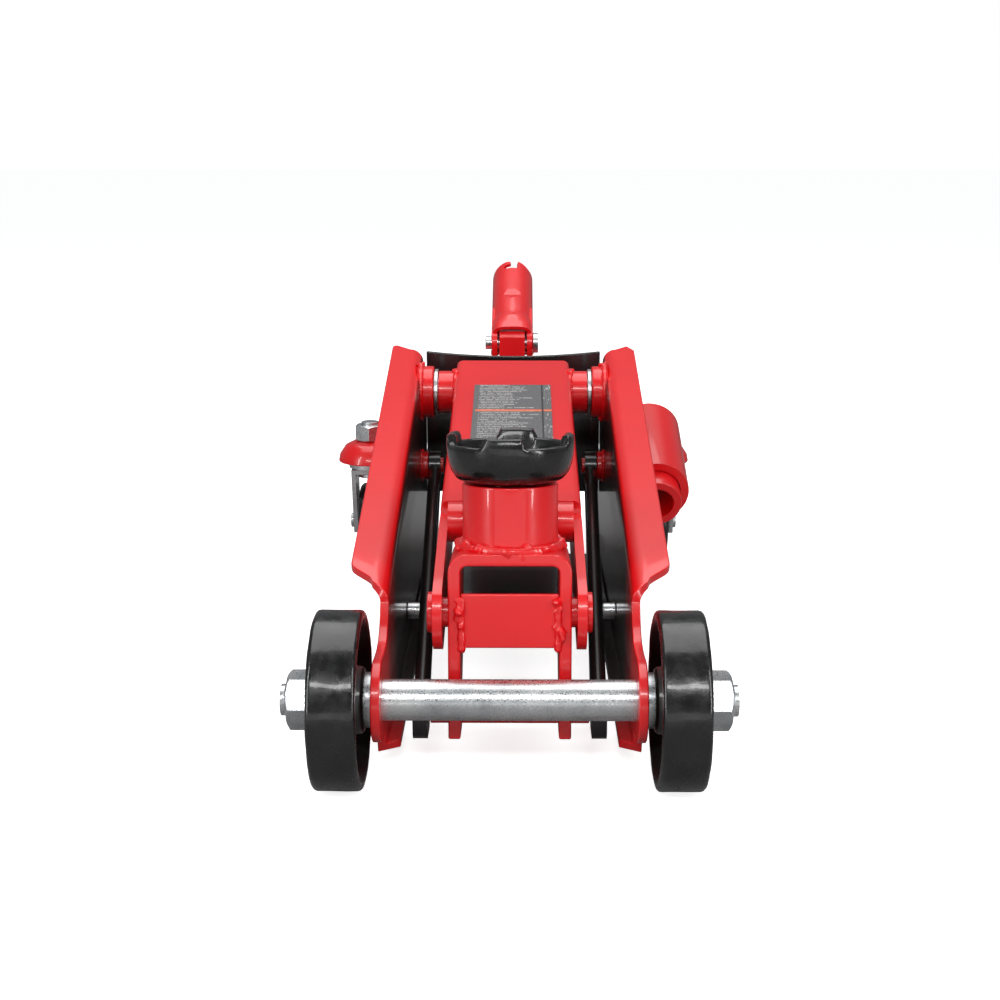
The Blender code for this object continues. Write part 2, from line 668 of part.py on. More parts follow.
barrel = ring_profile(0.0110 + GAP, 0.0280, 0.3400, BLOCK_FRONT - GAP, 0.0015)
place("reservoir", turned(barrel, (0.0, 0.0, RAM_Z), (0, 1, 0), 36), black("reservoir"))
gland = ring_profile(0.0110 + GAP, 0.0170, 0.3315, 0.3400 - GAP, 0.0010)
place("gland_nut", turned(gland, (0.0, 0.0, RAM_Z), (0, 1, 0), 28), zinc("gland_nut"))
RAM_FACE = CRANK_POINT[0] + ROLLER_R + 0.0005
ram = [(0.0, RAM_FACE), (0.0145, RAM_FACE), (0.0145, RAM_FACE + 0.0040), (0.0110, RAM_FACE + 0.0040)]
ram += [(0.0110, 0.4030), (0.0, 0.4030)]
place("ram", turned(ram, (0.0, 0.0, RAM_Z), (0, 1, 0), 28), finish_of("ram_chrome", (0.8, 0.8, 0.8), 0.1, 1.0))
plunger = rod((SOCKET_X, PLUNGER_Y, 0.1040), (SOCKET_X, PLUNGER_Y, PLUNGER_TOP), 0.0045, 20)
place("pump_plunger", plunger, finish_of("pump_plunger_chrome", (0.8, 0.8, 0.8), 0.1, 1.0))

VALVE_Z = 0.1020
valve = [(0.0, 0.4343), (0.0060, 0.4343), (0.0060, 0.4400), (0.0040, 0.4400), (0.0040, 0.4520), (0.0, 0.4520)]
VALVE_X = 0.0150
valve_body = place(
    "release_valve",
    turned(valve, (VALVE_X, 0.0, VALVE_Z), (0, 1, 0), 18),
    zinc("release_valve"),
    (VALVE_X, 0.4343, VALVE_Z),
)
cross_pin = rod((VALVE_X - 0.0090, 0.4490, VALVE_Z), (VALVE_X + 0.0090, 0.4490, VALVE_Z), 0.0018, 10)
combine(valve_body, place("valve_cross_pin", cross_pin), "UNION")
plug = [(0.0, BLOCK_TOP + GAP), (0.0060, BLOCK_TOP + GAP), (0.0060, BLOCK_TOP + 0.0050), (0.0, BLOCK_TOP + 0.0050)]
place("filler_plug", turned(plug, (0.0200, 0.3980, 0.0), (0, 0, 1), 18), finish_of("plug_rubber", BLACK, 0.6, 0.0))

# ---------------------------------------------------------------- handle socket
along = Vector((0.0, math.cos(SOCKET_LEAN), math.sin(SOCKET_LEAN)))
pivot_point = Vector((SOCKET_X, *SOCKET_PIVOT))
SOCKET_START = 0.0190
barrel = ring_profile(SOCKET_BORE_R, SOCKET_R, SOCKET_START, SOCKET_END)
socket = place("handle_socket", turned(barrel, pivot_point, along, 32), red("handle_socket"), pivot_point)
ROLLER_AT = (PLUNGER_Y, SOCKET_PIVOT[1] + PUMP_CRANK * math.sin(PUMP_CRANK_ANGLE))


def ear_outline():
    """One ear of the socket: round about the pin, out to the roller and up beside the tube."""
    tube_foot = [pivot_point + along * s for s in (0.034, 0.030)]
    across = Vector((0.0, -math.sin(SOCKET_LEAN), math.cos(SOCKET_LEAN)))
    upper = tube_foot[0] + across * 0.0075
    lower = tube_foot[1] - across * 0.0075
    ring = arc(SOCKET_PIVOT, 0.0095, 250, 100, 10)
    ring += [(upper.y, upper.z), (lower.y, lower.z)]
    ring += arc(ROLLER_AT, 0.0075, 15, -110, 6)
    return ring


EAR_IN = 0.0102
EAR_OUT = 0.0140
for side, word in SIDES:
    low, high = sorted((SOCKET_X + side * EAR_IN, SOCKET_X + side * EAR_OUT))
    combine(socket, place("socket_ear_" + word, slab(ear_outline(), low, high)), "UNION")
web = box((-EAR_OUT, -SOCKET_R, -0.0020), (EAR_OUT, -0.0124, 0.0220))
bmesh.ops.transform(web, verts=web.verts, matrix=Matrix.Translation(pivot_point) @ turn_to(along))
combine(socket, place("socket_web", web), "UNION")
for key, at, radius in (("pin", SOCKET_PIVOT, 0.0045), ("roller", ROLLER_AT, 0.0025)):
    combine(socket, place(f"socket_{key}_hole", rod((-0.03, *at), (0.03, *at), radius + GAP)), "DIFFERENCE")
notch = box((-0.0050, -0.03, 0.0), (0.0030, 0.0, 0.0080))
NOTCH_AT = pivot_point + along * (SOCKET_END - 0.0070)
notch_move = Matrix.Translation(NOTCH_AT) @ turn_to(along)
bmesh.ops.transform(notch, verts=notch.verts, matrix=notch_move)
combine(socket, place("socket_notch", notch), "DIFFERENCE")

pin = [(0.0, -0.0185), (0.0045, -0.0185), (0.0045, 0.0143), (0.0070, 0.0143), (0.0070, 0.0180), (0.0, 0.0180)]
place("socket_pin", turned(pin, pivot_point, (1, 0, 0), 20), zinc("socket_pin"))
half = [(0.0050, 0.0080), (0.0025, 0.0080), (0.0025, 0.0150), (0.0, 0.0150)]
roller = [(r, -x) for r, x in reversed(half)] + half
place("pump_roller", turned(roller, (SOCKET_X, *ROLLER_AT), (1, 0, 0), 18), zinc("pump_roller"), pivot_point)


# ---------------------------------------------------------------- casters
def caster(side, word):
    x = side * CASTER_X
    stem = (x, CASTER_Y, 0.0)
    ear = [
        (0.0063, EAR_Z[0]),
        (EAR_R, EAR_Z[0]),
        (EAR_R - 0.0010, EAR_Z[0] + 0.0050),
        (0.0170, EAR_Z[1] - 0.0030),
        (0.0110, EAR_Z[1]),
        (0.0063, EAR_Z[1]),
    ]
    name = "caster_ear_" + word
    dome = place(name, turned(ear, stem, (0, 0, 1), 32), red(name))
    low, high = sorted((side * (PLATE_OUT + GAP), side * (CASTER_X - 0.0120)))
    bridge = box((low, CASTER_Y - 0.0160, EAR_Z[0]), (high, CASTER_Y + 0.0160, EAR_Z[1] - 0.0040))
    combine(dome, place(name + "_bridge", bridge), "UNION")
    name = "caster_bolt_" + word
    race = (0.0655, EAR_Z[0] - GAP)
    shank = [(0.0, 0.0588), (0.0090, 0.0588), (0.0090, 0.0612), (0.0060, 0.0612), (0.0060, race[0])]
    shank += [(0.0150, race[0]), (0.0150, race[1]), (0.0060, race[1]), (0.0060, 0.0970), (0.0, 0.0970)]
    place(name, turned(shank, stem, (0, 0, 1), 20), zinc(name))
    name = "caster_nut_" + word
    nut = rod((x, CASTER_Y, EAR_Z[1] + GAP), (x, CASTER_Y, 0.0950), 0.0190 / math.sqrt(3), 6)
    bored(name, nut, zinc(name), (x, CASTER_Y, 0.08), (x, CASTER_Y, 0.10), 0.0060 + GAP)
    fork(x, "caster_fork_" + word)
    caster_wheel(x, word)


def fork(x, name):
    """A bent strap fork: a flat crown with a hole, and two legs that trail a little."""
    half = 0.0125
    wall = 0.0030
    crown = 0.0652
    bm = bmesh.new()
    corners = [(-half, 0.0190), (-half, crown), (half, crown), (half, 0.0190)]
    line = [bm.verts.new((x + dx, CASTER_Y - 0.0120, z)) for dx, z in corners]
    edges = [bm.edges.new(pair) for pair in zip(line, line[1:])]
    grown = bmesh.ops.extrude_edge_only(bm, edges=edges)
    moved = [v for v in grown["geom"] if isinstance(v, bmesh.types.BMVert)]
    bmesh.ops.translate(bm, verts=moved, vec=(0, 0.0240, 0))
    feet = [v for v in bm.verts if v.co.z < 0.03]
    for v in feet:
        v.co.y = CASTER_Y + CASTER_TRAIL + (v.co.y - CASTER_Y) * 0.7
    made = place(name, crown_up(bm), zinc(name), (x, CASTER_Y, 0.0))
    thicken(made, wall, -1.0)
    stem = rod((x, CASTER_Y, 0.05), (x, CASTER_Y, 0.08), 0.0060 + GAP)
    combine(made, place(name + "_stem_hole", stem), "DIFFERENCE")
    at = (CASTER_Y + CASTER_TRAIL, CASTER_R)
    combine(made, place(name + "_axle_hole", rod((x - 0.02, *at), (x + 0.02, *at), 0.0033, 16)), "DIFFERENCE")


def caster_wheel(x, word):
    at = (CASTER_Y + CASTER_TRAIL, CASTER_R)
    name = "caster_wheel_" + word
    profile = ring_profile(0.0033, CASTER_R, -0.0080, 0.0080, 0.0020)
    place(name, turned(profile, (x, *at), (1, 0, 0), 32), black(name), (x, *at))
    name = "caster_axle_" + word
    axle = [(0.0, -0.0150), (0.0050, -0.0150), (0.0050, -0.0128), (0.0030, -0.0128), (0.0030, 0.0128)]
    axle += [(0.0050, 0.0128), (0.0050, 0.0150), (0.0, 0.0150)]
    place(name, turned(axle, (x, *at), (1, 0, 0), 16), zinc(name), (x, CASTER_Y, 0.0))


for side, word in SIDES:
    caster(side, word)

# ---------------------------------------------------------------- stowage tube on the right plate
TUBE_X = 0.0870
TUBE_FRONT = Vector((TUBE_X, 0.2590, 0.0760))
TUBE_REAR = Vector((TUBE_X, 0.3270, 0.1010))
tube_axis = (TUBE_REAR - TUBE_FRONT).normalized()
TUBE_LENGTH = (TUBE_REAR - TUBE_FRONT).length
sleeve = turned(ring_profile(0.0155, 0.0205, 0.0, TUBE_LENGTH), TUBE_FRONT, tube_axis, 36)
holder = place("stowage_sleeve", sleeve, red("stowage_sleeve"))
pad = box((PLATE_OUT + GAP, 0.2750, 0.0780), (0.0680, 0.3100, 0.0980))
combine(holder, place("sleeve_pad", pad), "UNION")
liner = turned(ring_profile(0.0100, 0.0150, -0.0130, TUBE_LENGTH - 0.0050), TUBE_FRONT, tube_axis, 32)
place("stowage_liner", liner, red("stowage_liner"))
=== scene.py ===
"""The finished look of a compact hydraulic trolley jack: pressed and welded steel in gloss red paint,
zinc fasteners, and cast wheels and saddle in thick black paint.

Lengths are metres. X runs across the jack, Y rearwards and Z up. Heights are from the floor, and distances
along the jack are counted back from the front axle.
"""

import json
import math
import random

import bmesh
import bpy
from mathutils import Matrix, Vector, noise

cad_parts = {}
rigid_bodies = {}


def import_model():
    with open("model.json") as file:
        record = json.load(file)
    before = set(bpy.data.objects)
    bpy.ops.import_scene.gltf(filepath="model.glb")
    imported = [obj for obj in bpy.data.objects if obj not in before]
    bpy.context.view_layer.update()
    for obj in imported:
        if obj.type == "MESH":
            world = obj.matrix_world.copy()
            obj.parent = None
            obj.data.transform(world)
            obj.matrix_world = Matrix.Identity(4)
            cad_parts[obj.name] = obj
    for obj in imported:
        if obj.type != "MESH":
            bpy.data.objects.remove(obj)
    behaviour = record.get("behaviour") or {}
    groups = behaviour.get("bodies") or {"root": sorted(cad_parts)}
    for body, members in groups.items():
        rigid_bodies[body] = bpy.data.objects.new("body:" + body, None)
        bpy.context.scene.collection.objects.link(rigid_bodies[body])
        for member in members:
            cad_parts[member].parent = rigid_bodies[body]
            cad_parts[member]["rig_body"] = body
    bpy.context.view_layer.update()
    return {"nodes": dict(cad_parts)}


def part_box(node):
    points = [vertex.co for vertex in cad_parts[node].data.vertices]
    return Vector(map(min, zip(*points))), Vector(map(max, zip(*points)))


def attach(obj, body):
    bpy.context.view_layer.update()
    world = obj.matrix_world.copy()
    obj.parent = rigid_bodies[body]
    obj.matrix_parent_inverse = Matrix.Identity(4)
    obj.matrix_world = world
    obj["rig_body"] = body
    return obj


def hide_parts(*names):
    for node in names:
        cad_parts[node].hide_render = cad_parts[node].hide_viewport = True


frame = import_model()

# ---------------------------------------------------------------- side plates
# Two plates of 4.2 mm steel, folded out at the top into a flange that stiffens them and in at the bottom into
# a short lip. The flange starts in a swept corner behind the wheels. Pressed, drilled and powder coated red.
SIDES = ((-1, "left"), (1, "right"))


def middle(node):
    low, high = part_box(node)
    return (low + high) / 2


AXLE = middle("front_axle")


def back(distance):
    """The Y of a point this far behind the front axle."""
    return AXLE.y + distance


def principled(name, roughness, metallic=0.0, coat=0.0, coat_roughness=0.05):
    """A new material with its node tree and its shader, ready for patterns."""
    made = bpy.data.materials.new(name)
    made.use_nodes = True
    tree = made.node_tree
    shader = tree.nodes["Principled BSDF"]
    shader.inputs["Roughness"].default_value = roughness
    shader.inputs["Metallic"].default_value = metallic
    shader.inputs["Coat Weight"].default_value = coat
    shader.inputs["Coat Roughness"].default_value = coat_roughness
    return made, tree, shader


def object_noise(tree, scale, detail=2.0, rough=0.5):
    """A cloudy pattern that stays on the piece, with this many features in a metre."""
    place = tree.nodes.new("ShaderNodeTexCoord")
    clouds = tree.nodes.new("ShaderNodeTexNoise")
    clouds.inputs["Scale"].default_value = scale
    clouds.inputs["Detail"].default_value = detail
    clouds.inputs["Roughness"].default_value = rough
    tree.links.new(place.outputs["Object"], clouds.inputs["Vector"])
    return clouds.outputs["Fac"]


def ramp(tree, source, stops):
    """Maps a pattern to colours: stops are (position, (r, g, b))."""
    node = tree.nodes.new("ShaderNodeValToRGB")
    while len(node.color_ramp.elements) < len(stops):
        node.color_ramp.elements.new(0.5)
    for element, (position, colour) in zip(node.color_ramp.elements, stops):
        element.position = position
        element.color = (*colour, 1.0)
    tree.links.new(source, node.inputs["Fac"])
    return node.outputs["Color"]


def between(tree, source, low, high, start=0.3, stop=0.7):
    """Maps a pattern to a number between two values."""
    node = tree.nodes.new("ShaderNodeMapRange")
    node.inputs["From Min"].default_value = start
    node.inputs["From Max"].default_value = stop
    node.inputs["To Min"].default_value = low
    node.inputs["To Max"].default_value = high
    tree.links.new(source, node.inputs["Value"])
    return node.outputs["Result"]


def bumps(tree, shader, layers):
    """Stacks bump layers of (pattern, strength, height in metres)."""
    below = None
    for pattern, strength, height in layers:
        node = tree.nodes.new("ShaderNodeBump")
        node.inputs["Strength"].default_value = strength
        node.inputs["Distance"].default_value = height
        tree.links.new(pattern, node.inputs["Height"])
        if below:
            tree.links.new(below, node.inputs["Normal"])
        below = node.outputs["Normal"]
    tree.links.new(below, shader.inputs["Normal"])


def red_powder_coat():
    """Thick gloss powder coat: a clear red with a fine orange peel and a slow drift in tone."""
    made, tree, shader = principled("red powder coat", 0.32, coat=0.5, coat_roughness=0.05)
    drift = object_noise(tree, 14.0, 3.0)
    tone = ramp(tree, drift, [(0.3, (0.720, 0.0045, 0.0080)), (0.7, (0.830, 0.0070, 0.0110))])
    tree.links.new(tone, shader.inputs["Base Color"])
    peel = object_noise(tree, 330.0, 1.0)
    sag = object_noise(tree, 60.0, 1.0)
    bumps(tree, shader, [(peel, 0.22, 0.00012), (sag, 0.20, 0.0004)])
    return made


RED = red_powder_coat()


def smooth_and_soften(made, width, segments=2, sharp=40.0):
    """Rounds every sharp edge by a small width, as tumbling and paint do."""
    made.data.shade_smooth()
    if width:
        soften = made.modifiers.new("softened edges", "BEVEL")
        soften.width = width
        soften.segments = segments
        soften.profile = 0.5
        soften.limit_method = "ANGLE"
        soften.angle_limit = math.radians(sharp)
        soften.use_clamp_overlap = True
        even = made.modifiers.new("even shading", "WEIGHTED_NORMAL")
        even.keep_sharp = True
    else:
        made.data.set_sharp_from_angle(angle=math.radians(sharp))


def show(name, bm, body, finish, nodes=(), soften=0.0003, sharp=40.0, segments=2, wall=None):
    """Makes a visible piece of a bmesh, at home on its body, in place of these CAD nodes."""
    mesh = bpy.data.meshes.new(name)
    bm.to_mesh(mesh)
    bm.free()
    made = bpy.data.objects.new(name, mesh)
    bpy.context.scene.collection.objects.link(made)
    mesh.materials.append(finish)
    if wall:
        thickness, offset = wall
        sheet = made.modifiers.new("sheet", "SOLIDIFY")
        sheet.thickness = thickness
        sheet.offset = offset
        sheet.use_even_offset = True
        sheet.use_quality_normals = True
    smooth_and_soften(made, soften, segments, sharp)
    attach(made, body)
    if nodes:
        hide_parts(*nodes)
    return made


def arc(centre, radius, start_deg, end_deg, steps):
    """Points on an arc in the side view, as (Y, Z)."""
    angles = [math.radians(start_deg + (end_deg - start_deg) * i / steps) for i in range(steps + 1)]
    return [(centre[0] + radius * math.cos(a), centre[1] + radius * math.sin(a)) for a in angles]


PLATE_WALL = 0.0042
PLATE_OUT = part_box("wheel_washer_right")[0].x - 0.0003
PLATE_MID = PLATE_OUT - PLATE_WALL / 2
PLATE_IN = PLATE_OUT - PLATE_WALL
FLANGE_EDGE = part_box("side_plate_right")[1].x - 0.0002
FLANGE_START = (0.0400, 0.0795)
FLANGE_END = (0.3190, 0.1532)
FLANGE_SLOPE = (FLANGE_END[1] - FLANGE_START[1]) / (FLANGE_END[0] - FLANGE_START[0])
BEND = 0.0060
LOBE = 0.0190
LIP_HEIGHT = 0.0110
LIP_IN = 0.0510


def sweep(t):
    """How far along the swept front corner a share t of the flange's width is reached."""
    return 0.5 - math.sin(math.asin(1.0 - 2.0 * t) / 3.0)


def flange_rear(side, t):
    """How far the flange reaches behind the end of its bend, at a share t of its width."""
    reach = 0.0085 * t
    if side < 0:
        corner = max(0.0, (t - 0.62) / 0.38)
        return reach - 0.0055 * (1.0 - math.sqrt(max(0.0, 1.0 - corner * corner)))
    return reach - 0.0100 * max(0.0, (t - 0.62) / 0.38)


def red_with_painted_inner_shade():
    """The red coat with painted shade on the faces turned to the mechanism, behind the front edge: near
    black, standing for shade and dark reflection.
    """
    made = RED.copy()
    made.name = "red powder coat with painted inner shade"
    tree = made.node_tree
    shader = tree.nodes["Principled BSDF"]
    red = shader.inputs["Base Color"].links[0].from_socket
    place = tree.nodes.new("ShaderNodeTexCoord")
    parts = tree.nodes.new("ShaderNodeSeparateXYZ")
    tree.links.new(place.outputs["Object"], parts.inputs["Vector"])
    width = tree.nodes.new("ShaderNodeMath")
    width.operation = "ABSOLUTE"
    tree.links.new(parts.outputs["X"], width.inputs[0])
    # The painted shade's mask: the inner face of the plate, fading in behind the front edge.
    factors = []
    for value, start, end in ((width.outputs[0], PLATE_IN + 0.0016, PLATE_IN + 0.0006),
                              (parts.outputs["Y"], back(0.0300), back(0.0850))):
        limit = tree.nodes.new("ShaderNodeMapRange")
        limit.inputs["From Min"].default_value = start
        limit.inputs["From Max"].default_value = end
        tree.links.new(value, limit.inputs["Value"])
        factors.append(limit.outputs["Result"])
    both = tree.nodes.new("ShaderNodeMath")
    both.operation = "MULTIPLY"
    tree.links.new(factors[0], both.inputs[0])
    tree.links.new(factors[1], both.inputs[1])
    # Painted shade: near black mixed over the red where the mask is set.
    mix = tree.nodes.new("ShaderNodeMix")
    mix.data_type = "RGBA"
    tree.links.new(both.outputs[0], mix.inputs[0])
    tree.links.new(red, mix.inputs[6])
    mix.inputs[7].default_value = (0.0140, 0.0075, 0.0070, 1.0)
    tree.links.new(mix.outputs[2], shader.inputs["Base Color"])
    return made


# The side plates' red coat, with painted shade on their inner faces.
PLATE_RED_WITH_SHADE = red_with_painted_inner_shade()


def plate_sheet(side):
    """The middle surface of a side plate, as an open sheet."""
    bm = bmesh.new()
    bend_steps = 8
    flange_steps = 16
    lengths = 24
    reach = FLANGE_EDGE - PLATE_MID - BEND
    columns = []
    for i in range(bend_steps + 1):
        angle = math.pi / 2 * i / bend_steps
        drop = BEND * (math.sin(angle) - 1)
        columns.append((BEND * (1 - math.cos(angle)), drop, 0.005 * (i / bend_steps) ** 2, 0.0))
    for i in range(1, flange_steps + 1):
        share = i / flange_steps
        columns.append((BEND + reach * share, 0.0, 0.005 + 0.017 * sweep(share), flange_rear(side, share)))
    grid = []
    for out, drop, start, extra in columns:
        first = FLANGE_START[0] + start
        last = FLANGE_END[0] + extra
        line = []
        for k in range(lengths + 1):
            along = first + (last - first) * k / lengths
            height = FLANGE_START[1] + FLANGE_SLOPE * (along - FLANGE_START[0]) + drop
            line.append(bm.verts.new((side * (PLATE_MID + out), back(along), height)))
        grid.append(line)
    for a, b in zip(grid, grid[1:]):
        for k in range(lengths):
            bm.faces.new((a[k], a[k + 1], b[k + 1], b[k]))
    front = arc((0.0, AXLE.z), LOBE, -60, -275, 40)
    front += [(0.0100, 0.0588), (0.0180, 0.0588), (0.0250, 0.0600), (0.0310, 0.0626), (0.0350, 0.0662)]
    rear = [(0.3250, 0.1440), (0.4000, 0.1130)] + arc((0.4190, 0.0900), 0.0150, 50, 0, 5)
    rear += [(0.4340, 0.0400), (0.4200, 0.0200)]
    lip = [(0.4000, LIP_HEIGHT), (0.0150, LIP_HEIGHT)]
    rim = [bm.verts.new((side * PLATE_MID, back(y), z)) for y, z in front]
    tail = [bm.verts.new((side * PLATE_MID, back(y), z)) for y, z in rear + lip]
    bm.faces.new(rim + grid[0] + tail)
    edge = bm.edges.get((tail[-2], tail[-1]))
    grown = bmesh.ops.extrude_edge_only(bm, edges=[edge])
    for tip in [v for v in grown["geom"] if isinstance(v, bmesh.types.BMVert)]:
        pull = 0.006 if tip.co.y < back(0.1) else -0.006
        bmesh.ops.translate(bm, verts=[tip], vec=(side * (LIP_IN - PLATE_MID), pull, 0.0))
    bmesh.ops.recalc_face_normals(bm, faces=bm.faces)
    return bm


# The plates wear the red coat with painted shade on their inner faces.
for side, word in SIDES:
    node = "side_plate_" + word
    wall = (PLATE_WALL, 0.0)
    show(node + "_pressing", plate_sheet(side), "chassis", PLATE_RED_WITH_SHADE, [node], 0.0006, 50, 2, wall)


# ---------------------------------------------------------------- front axle
# A turned steel bar with shoulders that hold the plates apart and threaded ends for the wheel nuts.
# Bright zinc plate, with the fine speckle that barrel plating leaves.
def zinc_plate():
    made, tree, shader = principled("bright zinc plate", 0.3, metallic=1.0)
    cloud = object_noise(tree, 70.0, 4.0)
    speck = object_noise(tree, 1500.0, 2.0)
    greys = [(0.3, (0.50, 0.52, 0.54)), (0.5, (0.66, 0.68, 0.69)), (0.75, (0.80, 0.81, 0.81))]
    tone = ramp(tree, cloud, greys)
    tree.links.new(tone, shader.inputs["Base Color"])
    tree.links.new(between(tree, speck, 0.20, 0.48), shader.inputs["Roughness"])
    bumps(tree, shader, [(speck, 0.25, 0.00005), (cloud, 0.10, 0.0002)])
    return made


ZINC = zinc_plate()


def turned(profile, at, direction, steps=64):
    """A turned shape about an axis through a point. The profile holds (radius, distance along the axis); one
    that starts and ends on the axis is left open there."""
    bm = bmesh.new()
    line = [bm.verts.new((r, 0.0, z)) for r, z in profile]
    edges = [bm.edges.new(pair) for pair in zip(line, line[1:])]
    if profile[0][0] > 0 or profile[-1][0] > 0:
        edges.append(bm.edges.new((line[-1], line[0])))
    bmesh.ops.spin(
        bm, geom=line + edges, cent=(0, 0, 0), axis=(0, 0, 1), angle=2 * math.pi, steps=steps, use_merge=True
    )
    bmesh.ops.remove_doubles(bm, verts=bm.verts, dist=1e-6)
    bmesh.ops.recalc_face_normals(bm, faces=bm.faces)
    turn = Vector((0, 0, 1)).rotation_difference(Vector(direction)).to_matrix().to_4x4()
    bmesh.ops.transform(bm, verts=bm.verts, matrix=Matrix.Translation(at) @ turn)
    return bm


def thread(radius, start, end, pitch):
    """The outline of a screw thread from start to end, chamfered at its tip."""
    depth = pitch * 0.55
    turns = int((end - start - pitch) / pitch)
    points = []
    for i in range(turns):
        low = start + i * pitch
        points.append((radius - depth, low + 0.1 * pitch))
        points += [(radius, low + 0.5 * pitch), (radius, low + 0.6 * pitch)]
    return points + [(radius - depth, start + turns * pitch), (radius - depth, end)]


AXLE_R = 0.0093
THREAD_R = 0.0080
AXLE_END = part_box("front_axle")[1].x
NUT_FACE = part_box("axle_nut_right")[1].x
half = [(AXLE_R, PLATE_IN), (THREAD_R, PLATE_IN), (THREAD_R, NUT_FACE - 0.004)]
half += thread(THREAD_R, NUT_FACE - 0.0035, AXLE_END, 0.0015) + [(0.0, AXLE_END)]
bar = [(r, -x) for r, x in reversed(half)] + half
show("axle_bar", turned(bar, AXLE, (1, 0, 0)), "chassis", ZINC, ["front_axle"], 0.0002)


# ---------------------------------------------------------------- front wheels
# Solid cast wheels, dished between rim and hub, that turn on the axle ends. The casting is dipped in thick
# black paint: glossy on the tread, grainy in the dish.
def cast_paint(name, grain, gloss):
    """Thick black paint over a sand casting: grain is the height of its grit."""
    made, tree, shader = principled(name, 0.3, coat=0.35, coat_roughness=0.06)
    cloud = object_noise(tree, 45.0, 3.0)
    grit = object_noise(tree, 900.0, 3.0, 0.7)
    lumps = object_noise(tree, 150.0, 2.0)
    tone = ramp(tree, cloud, [(0.35, (0.0030, 0.0030, 0.0033)), (0.7, (0.0085, 0.0082, 0.0086))])
    tree.links.new(tone, shader.inputs["Base Color"])
    tree.links.new(between(tree, lumps, gloss, gloss + 0.22), shader.inputs["Roughness"])
    bumps(tree, shader, [(lumps, 0.30, 0.0006), (grit, 0.35, grain)])
    return made


TREAD_BLACK = cast_paint("cast black paint", 0.00010, 0.14)
GRAINY_BLACK = cast_paint("grainy black paint", 0.00060, 0.28)

WHEEL_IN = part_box("front_wheel_right")[0].x
WHEEL_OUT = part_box("front_wheel_right")[1].x
WHEEL_R = AXLE.z


def roughen(bm, height, scale, seed):
    """Pushes the skin in and out a little, as a sand mould does."""
    bm.normal_update()
    for vert in bm.verts:
        wobble = noise.noise(vert.co * scale + Vector((seed, 0, 0)))
        vert.co += vert.normal * height * wobble


def wheel_profile():
    """Rim, dish and hub of a front wheel, as (radius, distance out along the axle)."""
    bore = THREAD_R + 0.0003
    rim = 0.0358
    hub = 0.0150
    web_in = WHEEL_IN + 0.0080
    web_out = WHEEL_OUT - 0.0070
    tread = [(rim + 0.0012, WHEEL_IN + 0.0002)]
    tread += [(WHEEL_R - 0.0022 + 0.0022 * math.sin(a), WHEEL_IN + 0.0022 - 0.0020 * math.cos(a)) for a in
              [math.radians(d) for d in (0, 30, 60, 90)]]
    tread += [(WHEEL_R, WHEEL_IN + (WHEEL_OUT - WHEEL_IN) * i / 8) for i in range(1, 8)]
    tread += [(WHEEL_R - 0.0020 + 0.0020 * math.cos(a), WHEEL_OUT - 0.0020 + 0.0020 * math.sin(a)) for a in
              [math.radians(d) for d in (0, 30, 60, 90)]]
    outer = [(rim + 0.0012, WHEEL_OUT), (rim, WHEEL_OUT - 0.0014), (rim - 0.0012, web_out + 0.0012)]
    outer += [(rim - 0.0030, web_out), (hub + 0.0035, web_out), (hub + 0.0010, web_out + 0.0020)]
    outer += [(hub, WHEEL_OUT - 0.0010), (hub - 0.0010, WHEEL_OUT), (bore, WHEEL_OUT)]
    inner = [(bore, WHEEL_IN), (hub - 0.0010, WHEEL_IN), (hub, WHEEL_IN + 0.0010)]
    inner += [(hub + 0.0010, web_in - 0.0020), (hub + 0.0030, web_in), (rim - 0.0030, web_in)]
    inner += [(rim - 0.0010, web_in - 0.0015), (rim, WHEEL_IN + 0.0012)]
    return inner + tread + outer


for side, word in SIDES:
    node = "front_wheel_" + word
    wheel = turned(wheel_profile(), (0.0, AXLE.y, AXLE.z), (side, 0, 0), 96)
    roughen(wheel, 0.00022, 90.0, side * 7.0)
    made = show(node + "_casting", wheel, node, TREAD_BLACK, [node], 0.0, 60)
    made.data.materials.append(GRAINY_BLACK)
    for face in made.data.polygons:
        away = (Vector(face.center) - AXLE) * Vector((0, 1, 1))
        face.material_index = 1 if away.length < WHEEL_R - 0.0035 else 0


# ---------------------------------------------------------------- washers and nuts of the front axle
# Plain washers between plate and wheel, and hexagon nuts with chamfered corners. Zinc plated steel.
def nut_blank(flats, low, high, bore, at, direction, steps=72):
    """A hexagon nut: a turned ring whose rim is pressed out to the six flats, with the conical chamfers that
    cut its corners back."""
    chamfer_r = flats * 0.475
    lean = math.tan(math.radians(30))
    rim_r = flats * 0.6
    profile = [(bore, low + 0.0006), (bore + 0.0006, low), (chamfer_r, low), (rim_r, low)]
    profile += [(rim_r, high), (chamfer_r, high), (bore + 0.0006, high), (bore, high - 0.0006)]
    bm = turned(profile, (0, 0, 0), (0, 0, 1), steps)
    for vert in bm.verts:
        radius = math.hypot(vert.co.x, vert.co.y)
        if radius < rim_r - 1e-5:
            continue
        angle = math.atan2(vert.co.y, vert.co.x)
        off_flat = (angle + math.pi / 6) % (math.pi / 3) - math.pi / 6
        reach = flats / 2 / math.cos(off_flat)
        vert.co.x = reach * math.cos(angle)
        vert.co.y = reach * math.sin(angle)
        cut = (reach - chamfer_r) * lean
        vert.co.z += cut if vert.co.z < (low + high) / 2 else -cut
    turn = Vector((0, 0, 1)).rotation_difference(Vector(direction)).to_matrix().to_4x4()
    bmesh.ops.transform(bm, verts=bm.verts, matrix=Matrix.Translation(at) @ turn)
    return bm


def axle_point(point):
    """The same point on the middle plane of the jack."""
    return Vector((0.0, point.y, point.z))


